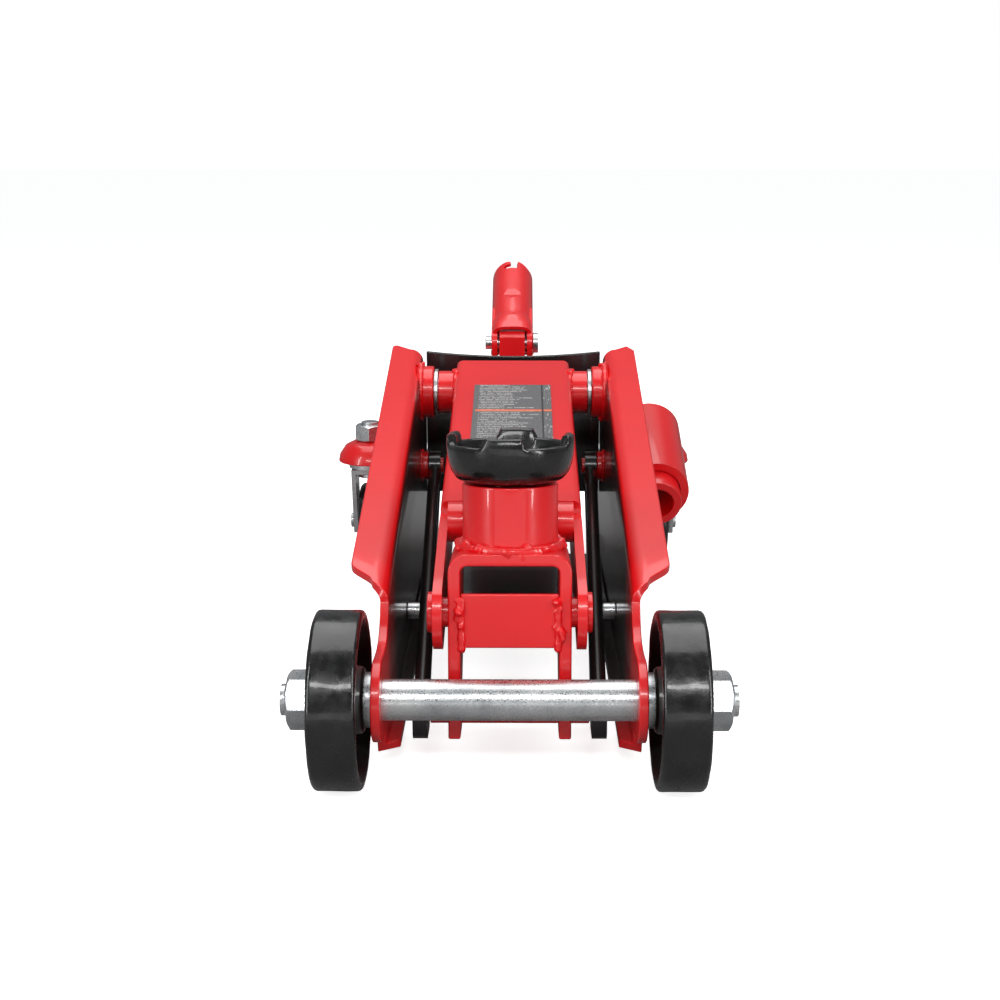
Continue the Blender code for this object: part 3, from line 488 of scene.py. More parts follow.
for side, word in SIDES:
    node = "wheel_washer_" + word
    ring = [(THREAD_R + 0.0003, PLATE_OUT + 0.0003), (0.0125, PLATE_OUT + 0.0003)]
    ring += [(0.0125, WHEEL_IN - 0.0003), (THREAD_R + 0.0003, WHEEL_IN - 0.0003)]
    show(node + "_ring", turned(ring, axle_point(AXLE), (side, 0, 0)), "chassis", ZINC, [node])
    node = "axle_nut_" + word
    nut = nut_blank(0.0240, WHEEL_OUT + 0.0003, NUT_FACE, THREAD_R + 0.0001, axle_point(AXLE), (side, 0, 0))
    show(node + "_hexagon", nut, "chassis", ZINC, [node], 0.0002, 25)


# ---------------------------------------------------------------- lift arm
# A channel pressed from 4.4 mm plate: two cheeks joined by the top that bends over them. Round bosses welded
# to its heel turn on the pivot shaft, and a tube ties the cheeks behind the saddle post.
PIVOT = middle("pivot_shaft")
FRONT_PIN = middle("front_pin")
ARM_OUT = 0.0354
ARM_WALL = 0.0044
ARM_IN = ARM_OUT - ARM_WALL
ARM_TOP_FRONT = (0.0990, 0.1090)
ARM_TOP_REAR = (0.3110, 0.1490)
ROLLER = middle("drive_roller")


def side_point(point):
    """A frame point as (distance behind the axle, height)."""
    return (point.y - AXLE.y, point.z)


def arm_sheet():
    """The outer surface of the arm, as an open sheet."""
    ear = arc(side_point(ROLLER), 0.0130, -120, 20, 14)
    heel = arc(side_point(PIVOT), 0.0190, -10, 30, 8)
    nose = arc(side_point(FRONT_PIN), 0.0172, 130, 265, 22)
    top = [ARM_TOP_REAR, ARM_TOP_FRONT]
    relief = [(0.0985, 0.1025), (0.0850, 0.1012)]
    outline = ear + heel + top + relief + nose + [(0.0700, 0.0640), (0.2600, 0.1020)]
    bm = bmesh.new()
    cheeks = []
    for side in (-1, 1):
        ring = [bm.verts.new((side * ARM_OUT, back(y), z)) for y, z in outline]
        bm.faces.new(ring)
        cheeks.append(ring)
    at = len(ear) + len(heel)
    left, right = cheeks
    bm.faces.new((left[at], left[at + 1], right[at + 1], right[at]))
    bmesh.ops.recalc_face_normals(bm, faces=bm.faces)
    bm.normal_update()
    if sum(f.normal.z * f.calc_area() for f in bm.faces) < 0:
        bmesh.ops.reverse_faces(bm, faces=bm.faces)
    bends = [bm.edges.get((ring[at], ring[at + 1])) for ring in cheeks]
    bmesh.ops.bevel(bm, geom=bends, offset=0.0040, segments=6, profile=0.5, affect="EDGES", material=-1)
    return bm


show("arm_channel", arm_sheet(), "lift_arm", RED, ["lift_arm"], 0.0006, 50, 2, (ARM_WALL, -1.0))

BOSS_END = 0.0460
SHAFT_R = 0.0100
for side, word in SIDES:
    ring = [(SHAFT_R + 0.0003, ARM_IN), (0.0130, ARM_IN), (0.0130, BOSS_END), (SHAFT_R + 0.0003, BOSS_END)]
    show("arm_boss_" + word, turned(ring, axle_point(PIVOT), (side, 0, 0)), "lift_arm", RED)


def blobs(path, size, spread, seed):
    """A weld bead along a path: an even bed of metal with a splash of its own size thrown over each spot."""
    chance = random.Random(seed)
    bm = bmesh.new()
    for point in path:
        bed = Matrix.Translation(Vector(point)) @ Matrix.Scale(chance.uniform(0.80, 0.95), 4)
        bmesh.ops.create_uvsphere(bm, u_segments=10, v_segments=6, radius=size, matrix=bed)
        shift = Vector([chance.uniform(-1.0, 1.0) * (spread + size * 0.35) for _ in range(3)])
        tip = Matrix.Rotation(chance.uniform(0, math.pi), 4, "X")
        turn = tip @ Matrix.Rotation(chance.uniform(0, math.pi), 4, "Z")
        wide = chance.uniform(0.35, 0.85)
        stretch = Matrix.Diagonal((wide * 1.5, wide, wide * 0.8, 1.0))
        move = Matrix.Translation(Vector(point) + shift) @ turn @ stretch
        bmesh.ops.create_uvsphere(bm, u_segments=10, v_segments=6, radius=size, matrix=move)
    return bm


def weld(name, path, size, body, seed, finish=RED, spread=0.0005):
    """Shows a bead along a path, its puddles run together and painted over."""
    made = show(name, blobs(path, size, spread, seed), body, finish, (), 0.0, 180)
    fuse = made.modifiers.new("run together", "REMESH")
    fuse.mode = "VOXEL"
    fuse.voxel_size = 0.0006
    fuse.use_smooth_shade = True
    calm = made.modifiers.new("calm", "SMOOTH")
    calm.factor = 0.5
    calm.iterations = 7
    return made


def ring_path(at, axis_x, radius, start_deg, end_deg, step=0.0022):
    """Points round an X axis, this far apart."""
    count = max(2, int(radius * math.radians(abs(end_deg - start_deg)) / step))
    return [(axis_x, at.y + y, at.z + z) for y, z in arc((0.0, 0.0), radius, start_deg, end_deg, count)]


for side, word in SIDES:
    weld(f"arm_boss_weld_{word}", ring_path(PIVOT, side * ARM_OUT, 0.0128, 0, 360), 0.0021, "lift_arm", 3)

TUBE = middle("arm_cross_tube")
tube_ring = [(0.0075, -ARM_IN), (0.0100, -ARM_IN), (0.0100, ARM_IN), (0.0075, ARM_IN)]
tube = turned(tube_ring, axle_point(TUBE), (1, 0, 0))
show("arm_tie_tube", tube, "lift_arm", RED, ["arm_cross_tube"])


def merged(node):
    """A CAD piece's own shape, merged from its triangles into flat faces."""
    bm = bmesh.new()
    bm.from_mesh(frame["nodes"][node].data)
    bmesh.ops.remove_doubles(bm, verts=bm.verts, dist=2e-6)
    bmesh.ops.dissolve_limit(bm, angle_limit=math.radians(0.5), verts=bm.verts, edges=bm.edges)
    return bm


def carried(node, name, finish, soften=0.0003, sharp=40.0, segments=2):
    """A CAD piece whose shape is right, given soft edges."""
    body = frame["nodes"][node]["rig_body"]
    return show(name, merged(node), body, finish, [node], soften, sharp, segments)


carried("front_pin", "arm_front_pin", RED, 0.0004)
carried("drive_roller_pin", "roller_pin", ZINC)
carried("drive_roller", "cam_roller", ZINC)


# ---------------------------------------------------------------- data label
# A printed foil label on the arm's top: grey, with a panel of small print in two blocks, an orange rule
# between them and a narrow column at the side. The print is only broken strokes and says nothing.
def label_print():
    made, tree, shader = principled("printed foil label", 0.42)
    uv = tree.nodes.new("ShaderNodeUVMap")
    uv.uv_map = "print"
    split = tree.nodes.new("ShaderNodeSeparateXYZ")
    tree.links.new(uv.outputs["UV"], split.inputs["Vector"])

    def maths(operation, a, b=None):
        node = tree.nodes.new("ShaderNodeMath")
        node.operation = operation
        for socket, value in zip(node.inputs, (a, b)):
            if value is None:
                continue
            if isinstance(value, float):
                socket.default_value = value
            else:
                tree.links.new(value, socket)
        return node.outputs[0]

    across = split.outputs["X"]
    along = split.outputs["Y"]
    rows = 34.0
    row = maths("FLOOR", maths("MULTIPLY", along, rows))
    in_row = maths("FRACT", maths("MULTIPLY", along, rows))
    stroke = maths("MULTIPLY", maths("GREATER_THAN", in_row, 0.34), maths("LESS_THAN", in_row, 0.78))
    joined = tree.nodes.new("ShaderNodeCombineXYZ")
    tree.links.new(maths("MULTIPLY", across, 46.0), joined.inputs["X"])
    tree.links.new(maths("MULTIPLY", row, 3.7), joined.inputs["Y"])
    words = tree.nodes.new("ShaderNodeTexNoise")
    words.inputs["Scale"].default_value = 1.0
    words.inputs["Detail"].default_value = 2.0
    tree.links.new(joined.outputs["Vector"], words.inputs["Vector"])
    gaps = maths("GREATER_THAN", words.outputs["Fac"], 0.45)
    lengths = tree.nodes.new("ShaderNodeTexWhiteNoise")
    lengths.noise_dimensions = "1D"
    tree.links.new(row, lengths.inputs["W"])
    right_end = maths("ADD", maths("MULTIPLY", lengths.outputs["Value"], 0.45), 0.40)
    block = maths("MULTIPLY", maths("GREATER_THAN", across, 0.07), maths("LESS_THAN", across, right_end))
    print_ink = maths("MULTIPLY", maths("MULTIPLY", stroke, gaps), block)
    side_strip = maths("GREATER_THAN", across, 0.90)
    column = maths("MULTIPLY", side_strip, maths("GREATER_THAN", words.outputs["Fac"], 0.62))
    ink = maths("MAXIMUM", print_ink, column)
    speck = object_noise(tree, 2600.0, 2.0, 0.8)
    ground = ramp(tree, speck, [(0.35, (0.045, 0.045, 0.048)), (0.65, (0.20, 0.20, 0.205))])

    def mix(fac, a, b):
        node = tree.nodes.new("ShaderNodeMix")
        node.data_type = "RGBA"
        tree.links.new(fac, node.inputs["Factor"])
        for socket, value in ((node.inputs[6], a), (node.inputs[7], b)):
            if isinstance(value, tuple):
                socket.default_value = (*value, 1.0)
            else:
                tree.links.new(value, socket)
        return node.outputs[2]

    inked = mix(ink, ground, (0.42, 0.41, 0.40))
    rule = maths("LESS_THAN", maths("ABSOLUTE", maths("SUBTRACT", along, 0.53)), 0.016)
    rule = maths("MULTIPLY", rule, maths("GREATER_THAN", across, 0.03))
    ruled = mix(rule, inked, (0.75, 0.16, 0.07))
    gutter = maths("LESS_THAN", maths("ABSOLUTE", maths("SUBTRACT", across, 0.885)), 0.012)
    done = mix(gutter, ruled, (0.03, 0.03, 0.032))
    tree.links.new(done, shader.inputs["Base Color"])
    bumps(tree, shader, [(speck, 0.10, 0.00003)])
    return made


LABEL = label_print()
ARM_ANGLE = math.atan2(ARM_TOP_REAR[1] - ARM_TOP_FRONT[1], ARM_TOP_REAR[0] - ARM_TOP_FRONT[0])
LABEL_SIZE = (0.0456, 0.0920)
foil = bmesh.new()
bmesh.ops.create_grid(foil, x_segments=8, y_segments=16, size=0.5, calc_uvs=False)
layer = foil.loops.layers.uv.new("print")
for face in foil.faces:
    for loop in face.loops:
        loop[layer].uv = (loop.vert.co.x + 0.5, loop.vert.co.y + 0.5)
grown = bmesh.ops.extrude_face_region(foil, geom=foil.faces[:])
lifted = [v for v in grown["geom"] if isinstance(v, bmesh.types.BMVert)]
bmesh.ops.scale(foil, verts=foil.verts, vec=(*LABEL_SIZE, 1.0))
bmesh.ops.translate(foil, verts=lifted, vec=(0, 0, 0.0004))
bmesh.ops.recalc_face_normals(foil, faces=foil.faces)
label_turn = Matrix.Rotation(ARM_ANGLE, 4, "X")
label_at = middle("arm_label") - label_turn.to_3x3() @ Vector((0, 0, 0.0002))
bmesh.ops.transform(foil, verts=foil.verts, matrix=Matrix.Translation(label_at) @ label_turn)
show("data_label", foil, "lift_arm", LABEL, ["arm_label"], 0.0)

# ---------------------------------------------------------------- arm pivot
# A plated shaft through both plates. Between plate and boss sit a welded collar and a loose washer on each
# side, and a hexagon nut clamps each end from outside.
carried("pivot_shaft", "pivot_bar", ZINC)
PIVOT_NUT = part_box("pivot_nut_right")
for side, word in SIDES:
    at = axle_point(PIVOT)
    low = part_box("pivot_washer_right")[0].x
    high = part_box("pivot_washer_right")[1].x
    ring = [(0.0103, low), (0.0142, low), (0.0142, high), (0.0103, high)]
    node = "pivot_washer_" + word
    show(node + "_ring", turned(ring, at, (side, 0, 0)), "chassis", ZINC, [node], 0.0004)
    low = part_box("pivot_collar_right")[0].x
    ring = [(0.0103, low), (0.0152, low), (0.0160, low + 0.0008), (0.0160, PLATE_IN), (0.0103, PLATE_IN)]
    node = "pivot_collar_" + word
    show(node + "_ring", turned(ring, at, (side, 0, 0)), "chassis", RED, [node], 0.0003)
    bead = ring_path(PIVOT, side * (PLATE_IN - 0.0002), 0.0160, 0, 360)
    weld(f"collar_weld_{word}", bead, 0.0024, "chassis", 5)
    node = "pivot_nut_" + word
    nut = nut_blank(0.0180, PIVOT_NUT[0].x, PIVOT_NUT[1].x, 0.0061, at, (side, 0, 0))
    show(node + "_hexagon", nut, "chassis", ZINC, [node], 0.0002, 25)


# ---------------------------------------------------------------- saddle bracket
# A strap of 5.7 mm plate bent to an upturned U that hangs on the arm's front pin. Its legs taper towards the
# lower pin, a plate is welded between them in front, and the saddle post is welded on its top.
TILT = math.radians(5.5)
STRAP_OUT = 0.0285
STRAP_WALL = 0.0057
STRAP_FRONT = -0.0100
STRAP_REAR = 0.0370
STRAP_TOP = 0.0290
STRAP_FOOT = -0.0582
PIN = axle_point(FRONT_PIN)
LEAN = Matrix.Translation(PIN) @ Matrix.Rotation(-TILT, 4, "X")


def leaned(bm):
    """Moves a bmesh drawn upright about the front pin to the bracket's own lean."""
    bmesh.ops.transform(bm, verts=bm.verts, matrix=LEAN)
    return bm


def leg_rear(height):
    """How far back a leg reaches at a height above the pin."""
    if height > -0.0120:
        return STRAP_REAR
    if height > -0.0420:
        share = (-0.0120 - height) / 0.0300
        return STRAP_REAR - 0.0250 * share
    return 0.0120 - 0.0015 * (-0.0420 - height) / 0.0160


def strap_sheet():
    """The outer face of the strap: its section is drawn in front and pulled back to the leg's own depth."""
    radius = 0.0090
    low = [STRAP_FOOT, -0.0500, -0.0420, -0.0340, -0.0260, -0.0180, -0.0120, -0.0060, 0.0040, 0.0140]
    leg = [(STRAP_OUT, z) for z in low]
    corner = arc((STRAP_OUT - radius, STRAP_TOP - radius), radius, 0, 90, 10)
    right = leg + corner + [(0.0100, STRAP_TOP)]
    section = right + [(-x, z) for x, z in reversed(right)]
    bm = bmesh.new()
    line = [bm.verts.new((x, STRAP_FRONT, z)) for x, z in section]
    edges = [bm.edges.new(pair) for pair in zip(line, line[1:])]
    grown = bmesh.ops.extrude_edge_only(bm, edges=edges)
    for vert in [v for v in grown["geom"] if isinstance(v, bmesh.types.BMVert)]:
        vert.co.y = leg_rear(vert.co.z)
    long_edges = [e for e in bm.edges if abs(e.verts[0].co.y - e.verts[1].co.y) > 0.015]
    bmesh.ops.subdivide_edges(bm, edges=long_edges, cuts=3)
    bmesh.ops.recalc_face_normals(bm, faces=bm.faces)
    bm.normal_update()
    if sum(f.normal.z * f.calc_area() for f in bm.faces) < 0:
        bmesh.ops.reverse_faces(bm, faces=bm.faces)
    return leaned(bm)


strap = strap_sheet()
wall = (STRAP_WALL, -1.0)
show("bracket_strap", strap, "saddle_bracket", RED, ["saddle_bracket"], 0.0009, 50, 3, wall)
carried("bracket_front_plate", "bracket_gusset", RED, 0.0009, 40, 3)
PLATE_EDGE = STRAP_OUT - STRAP_WALL
for side, word in SIDES:
    across = side * (PLATE_EDGE - 0.0004)
    seam = [LEAN @ Vector((across, STRAP_FRONT + 0.0012, z / 1000)) for z in range(-15, 9, 2)]
    weld(f"gusset_weld_{word}", seam, 0.0027, "saddle_bracket", 11 + side, spread=0.0014)
carried("lower_pin", "bracket_lower_pin", RED, 0.0004)

POST_AT = 0.0155
POST_R = 0.0225
POST_TOP = 0.0590
post_ring = [(0.0128, STRAP_TOP + 0.0001), (POST_R, STRAP_TOP + 0.0001), (POST_R, POST_TOP - 0.0010)]
post_ring += [(POST_R - 0.0006, POST_TOP - 0.0002), (0.0134, POST_TOP - 0.0002), (0.0128, POST_TOP - 0.0008)]
post = leaned(turned(post_ring, (0.0, POST_AT, 0.0), (0, 0, 1), 96))
show("post_tube", post, "saddle_bracket", RED, ["saddle_post"], 0.0002)
foot_path = []
for i in range(64):
    angle = 2 * math.pi * i / 64
    reach = POST_R + 0.0012
    spot = Vector((reach * math.cos(angle), POST_AT + reach * math.sin(angle), STRAP_TOP + 0.0006))
    foot_path.append(LEAN @ spot)
weld("post_foot_weld", foot_path, 0.0030, "saddle_bracket", 21, spread=0.0008)

# ---------------------------------------------------------------- saddle
# A cast cup that turns on the post and meets the car. Its rim rises in four blunt lugs. It is dipped in thick
# black paint.
SADDLE_R = 0.0300
SADDLE_H = 0.0180
LUG_RISE = 0.0045
LUG_HALF = math.radians(18.5)


def cup():
    """The cup is turned with an even rim, and the rim is then raised at the lugs."""
    base = POST_TOP + 0.0003
    rim = base + SADDLE_H
    profile = [(0.0, base - 0.0220), (0.0118, base - 0.0220), (0.0125, base - 0.0213), (0.0125, base)]
    profile += [(0.0190, base), (0.0225, base + 0.0008), (0.0255, base + 0.0025), (0.0277, base + 0.0055)]
    profile += [(0.0289, base + 0.0090), (0.0296, base + 0.0130), (SADDLE_R - 0.0001, rim - 0.0020)]
    profile += [(SADDLE_R - 0.0002, rim - 0.0008), (SADDLE_R - 0.0010, rim)]
    profile += [(SADDLE_R - 0.0022, rim + 0.0002), (SADDLE_R - 0.0036, rim)]
    profile += [(SADDLE_R - 0.0044, rim - 0.0010), (SADDLE_R - 0.0048, rim - 0.0040)]
    profile += [(0.0245, base + 0.0095), (0.0232, base + 0.0075)]
    profile += [(0.0205, base + 0.0068), (0.0, base + 0.0068)]
    bm = turned(profile, (0, 0, 0), (0, 0, 1), 144)
    for vert in bm.verts:
        if vert.co.z < rim - 0.0030:
            continue
        angle = (math.atan2(vert.co.y, vert.co.x) + math.radians(6.5)) % (math.pi / 2)
        off = min(angle, math.pi / 2 - angle)
        edge = min(1.0, max(0.0, (LUG_HALF + 0.035 - off) / 0.07))
        share = min(1.0, (vert.co.z - rim + 0.0030) / 0.0022)
        vert.co.z += LUG_RISE * edge * edge * (3 - 2 * edge) * share
    bmesh.ops.translate(bm, verts=bm.verts, vec=(0.0, POST_AT, 0.0))
    leaned(bm)
    roughen(bm, 0.00035, 110.0, 4.0)
    return bm


SADDLE_BLACK = cast_paint("saddle black paint", 0.00012, 0.16)
show("saddle_casting", cup(), "saddle", SADDLE_BLACK, ["saddle"], 0.0, 60)


# ---------------------------------------------------------------- parallel rods and their anchors
# Round bars with flattened eyes that run beside the arm and keep the saddle level. Painted black.
def black_paint():
    made, tree, shader = principled("gloss black paint", 0.24, coat=0.4, coat_roughness=0.08)
    cloud = object_noise(tree, 30.0, 2.0)
    tone = ramp(tree, cloud, [(0.3, (0.0065, 0.0060, 0.0062)), (0.7, (0.0140, 0.0130, 0.0135))])
    tree.links.new(tone, shader.inputs["Base Color"])
    peel = object_noise(tree, 260.0, 1.0)
    bumps(tree, shader, [(peel, 0.25, 0.00015)])
    return made


BLACK = black_paint()
for side, word in SIDES:
    carried("parallel_rod_" + word, "levelling_rod_" + word, BLACK, 0.0008, 50, 3)
    carried("rod_anchor_" + word, "rod_stud_" + word, RED, 0.0006, 40, 3)
    anchor = middle("rod_anchor_" + word)
    bead = ring_path(anchor, side * (PLATE_IN - 0.0004), 0.0094, 0, 360)
    weld(f"stud_weld_{word}", bead, 0.0014, "chassis", 31)
    carried("frame_bolt_" + word, "spring_bolt_" + word, ZINC, 0.0005, 40, 3)

# ---------------------------------------------------------------- cross pieces between the plates
# A folded wall behind the arm and a flat strap underneath tie the plates, and a plated shaft holds the
# power unit.
def wall_sheet():
    """A wall on two legs beside the reservoir, with a shelf; its free upper edge sags between its ends."""
    low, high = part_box("rear_cross_plate")
    shelf = 0.1142
    bm = bmesh.new()
    rows = []
    for i in range(25):
        x = high.x * (i / 12 - 1)
        slack = 1 - (x / high.x) ** 2
        top = high.z - 0.0033 * slack
        near = low.y + 0.0008 * slack
        section = [(low.y, shelf), (high.y, shelf), (high.y, shelf + 0.0030), (near + 0.0030, shelf + 0.0030)]
        section += [(near + 0.0030, top), (near, top)]
        rows.append([bm.verts.new((x, y, z)) for y, z in section])
    for one, other in zip(rows, rows[1:]):
        for j in range(6):
            bm.faces.new((one[j], one[j - 1], other[j - 1], other[j]))
    bm.faces.new(rows[0])
    bm.faces.new(rows[-1][::-1])
    for side in (1, -1):
        size = Matrix.Diagonal((high.x - 0.0300, 0.0031, shelf + 0.0015 - low.z, 1.0))
        centre = (side * (high.x + 0.0300) / 2, low.y + 0.0017, (low.z + shelf + 0.0015) / 2)
        bmesh.ops.create_cube(bm, size=1.0, matrix=Matrix.Translation(centre) @ size)
    bmesh.ops.recalc_face_normals(bm, faces=bm.faces)
    return bm


show("rear_wall", wall_sheet(), "chassis", BLACK, ["rear_cross_plate"], 0.0008, 40, 3)
carried("bottom_tie_plate", "belly_strap", BLACK, 0.0008, 40, 3)
carried("cross_shaft", "unit_shaft", ZINC)


# ---------------------------------------------------------------- power unit
# A machined block with the pump, the release valve and the filler plug, an oil reservoir in front of it, and
# the ram that pushes the arm's roller. The block is painted red, the reservoir black, the ram is chromed.
def hard_chrome():
    made, tree, shader = principled("hard chrome", 0.08, metallic=1.0)
    film = object_noise(tree, 90.0, 3.0)
    tone = ramp(tree, film, [(0.3, (0.74, 0.75, 0.77)), (0.7, (0.86, 0.87, 0.88))])
    tree.links.new(tone, shader.inputs["Base Color"])
    tree.links.new(between(tree, film, 0.05, 0.16), shader.inputs["Roughness"])
    return made


CHROME = hard_chrome()
carried("pump_block", "pump_body", RED, 0.0012, 40, 3)
carried("reservoir", "oil_reservoir", BLACK, 0.0010, 40, 3)
carried("gland_nut", "ram_gland", ZINC, 0.0004)
carried("ram", "ram_rod", CHROME, 0.0004)
carried("pump_plunger", "plunger_rod", CHROME, 0.0003)
carried("release_valve", "valve_spindle", ZINC, 0.0004)


def moulded_rubber():
    made, tree, shader = principled("moulded black rubber", 0.6)
    cloud = object_noise(tree, 120.0, 2.0)
    tone = ramp(tree, cloud, [(0.3, (0.012, 0.012, 0.012)), (0.7, (0.030, 0.030, 0.030))])
    tree.links.new(tone, shader.inputs["Base Color"])
    bumps(tree, shader, [(object_noise(tree, 700.0, 2.0), 0.2, 0.0001)])
    return made


carried("filler_plug", "oil_plug", moulded_rubber(), 0.0010, 40, 3)

# ---------------------------------------------------------------- handle socket
# A rolled steel tube whose foot is squared into a channel over the pump's tab, with two ears on a plated pin
# that a spring clip holds. A hooked slot in its mouth and a pressed dimple lock the handle. Painted red.
SOCKET_LEAN = math.radians(25.0)
SOCKET_R = 0.0145
TUBE_FOOT = 0.0345
socket_at = middle("socket_pin")
socket_at.x = -0.0010
socket_along = Vector((0.0, math.cos(SOCKET_LEAN), math.sin(SOCKET_LEAN)))
socket_over = Vector((0.0, -math.sin(SOCKET_LEAN), math.cos(SOCKET_LEAN)))


def socket_sheet():
    """The tube's wall drawn flat as (degrees from the top, metres along), cut to its slot and rolled up."""
    mouth = [(180, 0.0835), (95, 0.0838), (50, 0.0850), (24, 0.0878), (17, 0.0880), (15, 0.0872)]
    mouth += [(15, 0.0800), (10, 0.0785), (-16, 0.0785), (-24, 0.0795), (-27, 0.0815), (-24, 0.0834)]
    mouth += [(-17, 0.0842)]
    mouth += [(-10, 0.0840), (-6, 0.0850), (-6, 0.0866), (-11, 0.0878), (-20, 0.0880), (-60, 0.0862)]
    mouth += [(-95, 0.0840), (-180, 0.0835)]
    foot = [(-180, TUBE_FOOT), (-80, TUBE_FOOT), (-80, -0.0015), (-72, -0.0020), (72, -0.0020), (80, -0.0015)]
    outline = foot + [(80, TUBE_FOOT), (180, TUBE_FOOT)] + mouth
    bm = bmesh.new()
    corners = [bm.verts.new((math.radians(angle), along, 0.0)) for angle, along in outline]
    rim = [bm.edges.new(pair) for pair in zip(corners, corners[1:] + corners[:1])]
    bmesh.ops.triangle_fill(bm, use_beauty=True, edges=rim, normal=(0, 0, 1))
    for angle in range(-174, 180, 6):
        parts = list(bm.verts) + list(bm.edges) + list(bm.faces)
        at = math.radians(angle)
        bmesh.ops.bisect_plane(bm, geom=parts, dist=1e-6, plane_co=(at, 0, 0), plane_no=(1, 0, 0))
    for step in range(-15, 14):
        parts = list(bm.verts) + list(bm.edges) + list(bm.faces)
        at = TUBE_FOOT + 0.0020 * step
        bmesh.ops.bisect_plane(bm, geom=parts, dist=1e-6, plane_co=(0, at, 0), plane_no=(0, 1, 0))
    for vert in bm.verts:
        angle, along = vert.co.x, vert.co.y
        dent = max(0.0, 1 - (angle / 0.42) ** 2 - ((along - 0.0425) / 0.0028) ** 2)
        knock = max(0.0, 1 - (angle / 0.20) ** 2 - ((along - 0.0130) / 0.0022) ** 2)
        square = 2 + 1.6 * min(1.0, max(0.0, (0.0200 - along) / 0.0160))
        widest = (abs(math.sin(angle)) ** square + abs(math.cos(angle)) ** square) ** (1 / square)
        reach = SOCKET_R / widest - 0.0013 * dent + 0.0006 * knock
        side = Vector((reach * math.sin(angle), 0.0, 0.0))
        vert.co = socket_at + socket_along * along + side + socket_over * reach * math.cos(angle)
    bmesh.ops.remove_doubles(bm, verts=bm.verts, dist=2e-5)
    bmesh.ops.recalc_face_normals(bm, faces=bm.faces)
    bm.normal_update()
    axis = socket_at + socket_along * 0.06
    if sum(f.normal.dot(f.calc_center_median() - axis) * f.calc_area() for f in bm.faces) < 0:
        bmesh.ops.reverse_faces(bm, faces=bm.faces)
    return bm


def socket_yoke():
    """The ears and the lower half of the tube's foot, cut off where the rolled wall covers them."""
    bm = merged("handle_socket")
    parts = list(bm.verts) + list(bm.edges) + list(bm.faces)
    cut = socket_at + socket_along * (TUBE_FOOT + 0.0004)
    bmesh.ops.bisect_plane(bm, geom=parts, dist=1e-6, plane_co=cut, plane_no=socket_along, clear_outer=True)
    parts = list(bm.verts) + list(bm.edges) + list(bm.faces)
    cut = socket_at + socket_over * 0.0100
    bmesh.ops.bisect_plane(bm, geom=parts, dist=1e-6, plane_co=cut, plane_no=socket_over, clear_outer=True)
    return bm


tube = socket_sheet()
show("socket_tube", tube, "handle_socket", RED, ["handle_socket"], 0.0005, 50, 2, (0.0023, -1.0))
show("socket_foot", socket_yoke(), "handle_socket", RED, [], 0.0005, 40, 2)
CLIP_R = 0.0047
CLIP_WIRE = 0.0006
turns = [i * math.pi / 4 for i in range(8)]
clip_ring = [(CLIP_R + CLIP_WIRE * math.sin(t), CLIP_WIRE * math.cos(t)) for t in turns]
clip = turned(clip_ring, socket_at + Vector((0.0166, 0.0, 0.0)), (1, 0, 0), 32)
show("socket_clip", clip, "handle_socket", ZINC, [], 0.0)
carried("pump_roller", "pump_cam_roller", ZINC)
carried("socket_pin", "socket_hinge_pin", ZINC, 0.0005)

# ---------------------------------------------------------------- rear casters
# Each caster hangs from a domed ear welded to its plate: a bolt with its nut, a bent plated fork and a
# small black wheel on a riveted axle.
for side, word in SIDES:
    carried("caster_ear_" + word, "caster_dome_" + word, RED, 0.0009, 30, 3)
    carried("caster_bolt_" + word, "caster_kingbolt_" + word, ZINC, 0.0004)
    low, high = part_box("caster_nut_" + word)
    at = middle("caster_nut_" + word)
    nut = nut_blank(0.0190, low.z, high.z, 0.0061, (at.x, at.y, 0.0), (0, 0, 1))
    show("caster_hexagon_" + word, nut, "chassis", ZINC, ["caster_nut_" + word], 0.0002, 25)
    carried("caster_fork_" + word, "caster_strap_" + word, ZINC, 0.0006, 40, 3)
    carried("caster_axle_" + word, "caster_rivet_" + word, ZINC, 0.0005, 40, 3)
    carried("caster_wheel_" + word, "caster_roller_" + word, TREAD_BLACK, 0.0008, 30, 3)

# ---------------------------------------------------------------- stowage tube
# A tube welded beside the right plate that keeps half of the handle. A thinner liner stands out of its front.
carried("stowage_sleeve", "stowage_tube", RED, 0.0008, 40, 3)
carried("stowage_liner", "stowage_inner_tube", RED, 0.0006, 40, 3)

# ---------------------------------------------------------------- floor, light and camera
# A white sweep under softboxes, seen from in front and a little above. The floor and the room look white to
# the lens but light the jack more dimly, and the picture is shown without a film curve.
PITCH = math.radians(13.5)
SWING = math.radians(0.4)
CAMERA_BACK = 0.686
CAMERA_DROP = 0.090


def seen_or_lit(tree, seen, lit):
    """One shader for what the lens sees directly and another for what lights the jack."""
    path = tree.nodes.new("ShaderNodeLightPath")
    mix = tree.nodes.new("ShaderNodeMixShader")
    tree.links.new(path.outputs["Is Camera Ray"], mix.inputs["Fac"])
    tree.links.new(lit.outputs[0], mix.inputs[1])
    tree.links.new(seen.outputs[0], mix.inputs[2])
    return mix


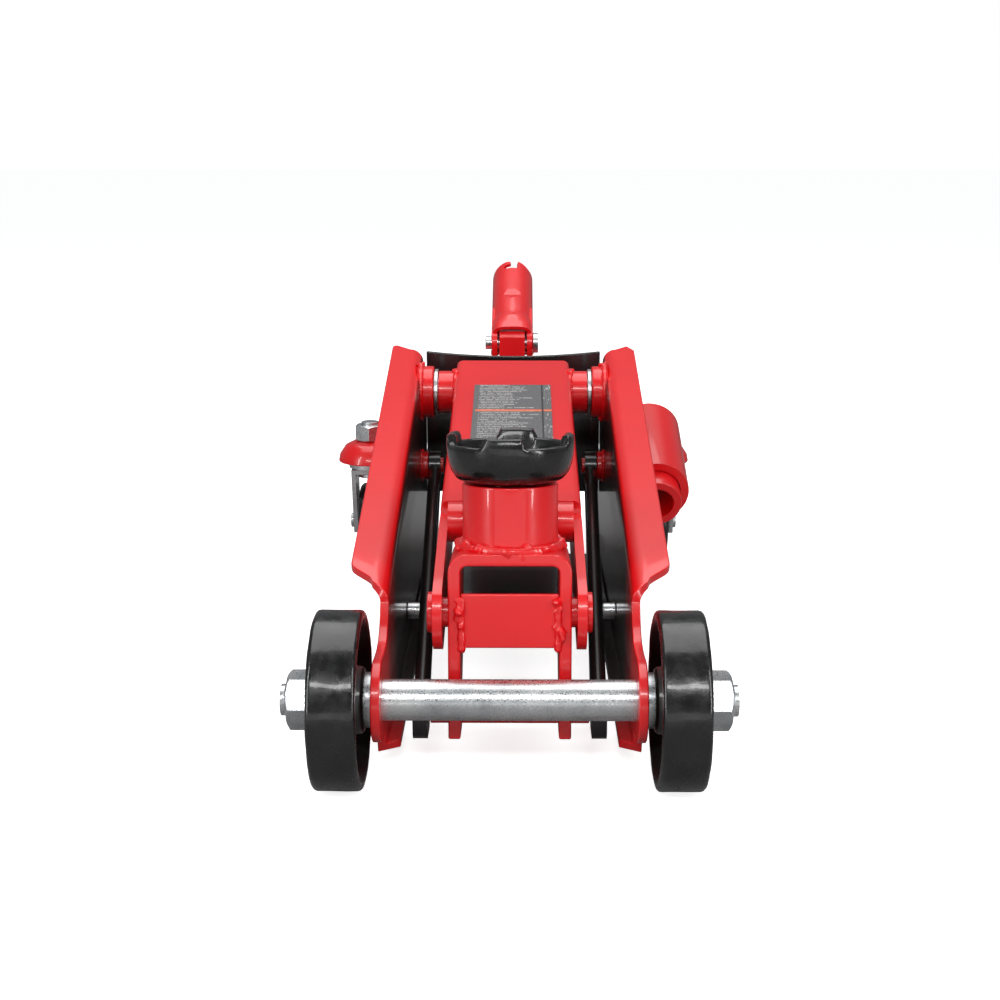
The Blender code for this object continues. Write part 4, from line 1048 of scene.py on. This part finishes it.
def sweep_paper():
    """Paper that looks bright white but throws little light back, so that the inner faces stay deep."""
    made = bpy.data.materials.new("white sweep paper")
    made.use_nodes = True
    tree = made.node_tree
    tree.nodes.remove(tree.nodes["Principled BSDF"])
    seen = tree.nodes.new("ShaderNodeBsdfDiffuse")
    seen.inputs["Color"].default_value = (0.95, 0.95, 0.95, 1.0)
    lit = tree.nodes.new("ShaderNodeBsdfDiffuse")
    lit.inputs["Color"].default_value = (0.30, 0.30, 0.30, 1.0)
    glow = tree.nodes.new("ShaderNodeEmission")
    glow.inputs["Strength"].default_value = 0.80
    both = tree.nodes.new("ShaderNodeAddShader")
    tree.links.new(seen.outputs[0], both.inputs[0])
    tree.links.new(glow.outputs[0], both.inputs[1])
    mix = seen_or_lit(tree, both, lit)
    tree.links.new(mix.outputs[0], tree.nodes["Material Output"].inputs["Surface"])
    return made


bm = bmesh.new()
bmesh.ops.create_grid(bm, x_segments=1, y_segments=1, size=12.0)
mesh = bpy.data.meshes.new("studio_floor")
bm.to_mesh(mesh)
bm.free()
floor = bpy.data.objects.new("studio_floor", mesh)
mesh.materials.append(sweep_paper())
bpy.context.scene.collection.objects.link(floor)

world = bpy.data.worlds.new("studio")
bpy.context.scene.world = world
world.use_nodes = True
backdrop = world.node_tree.nodes["Background"]
backdrop.inputs["Strength"].default_value = 1.0
backdrop.inputs["Color"].default_value = (1.0, 1.0, 1.0, 1.0)
room = world.node_tree.nodes.new("ShaderNodeBackground")
room.inputs["Color"].default_value = (0.95, 0.97, 1.0, 1.0)
room.inputs["Strength"].default_value = 0.20
mix = seen_or_lit(world.node_tree, backdrop, room)
world.node_tree.links.new(mix.outputs[0], world.node_tree.nodes["World Output"].inputs["Surface"])


def softbox(name, at, aim, size, power):
    lamp = bpy.data.lights.new(name, "AREA")
    lamp.shape = "RECTANGLE"
    lamp.size = size[0]
    lamp.size_y = size[1]
    lamp.energy = power
    made = bpy.data.objects.new(name, lamp)
    made.location = at
    made.rotation_euler = (Vector(aim) - Vector(at)).to_track_quat("-Z", "Y").to_euler()
    bpy.context.scene.collection.objects.link(made)


softbox("overhead_softbox", (0.0, 0.25, 1.3), (0.0, 0.0, 0.1), (1.3, 1.3), 13.0)
softbox("left_strip", (-0.95, -0.85, 0.55), (0.0, 0.0, 0.08), (0.10, 1.1), 6.5)
softbox("right_strip", (0.95, -0.85, 0.55), (0.0, 0.0, 0.08), (0.10, 1.1), 6.5)
softbox("low_card", (0.0, -1.05, 0.04), (0.0, 0.0, 0.06), (1.3, 0.16), 0.8)
softbox("front_card", (0.0, -1.25, 0.85), (0.0, 0.0, 0.08), (0.9, 0.12), 5.5)
bpy.context.scene.view_settings.view_transform = "Standard"

lens = bpy.data.cameras.new("camera")
lens.lens = 54.9
lens.sensor_width = 36.0
lens.shift_x = -0.0095
lens.clip_start = 0.01
camera = bpy.data.objects.new("camera", lens)
swing = Matrix.Rotation(SWING, 3, "Z")
view = swing @ Vector((0.0, math.cos(PITCH), -math.sin(PITCH)))
up = swing @ Vector((0.0, math.sin(PITCH), math.cos(PITCH)))
camera.location = axle_point(AXLE) - view * CAMERA_BACK + up * CAMERA_DROP
camera.rotation_euler = (math.pi / 2 - PITCH, 0.0, SWING)
bpy.context.scene.collection.objects.link(camera)
bpy.context.scene.camera = camera
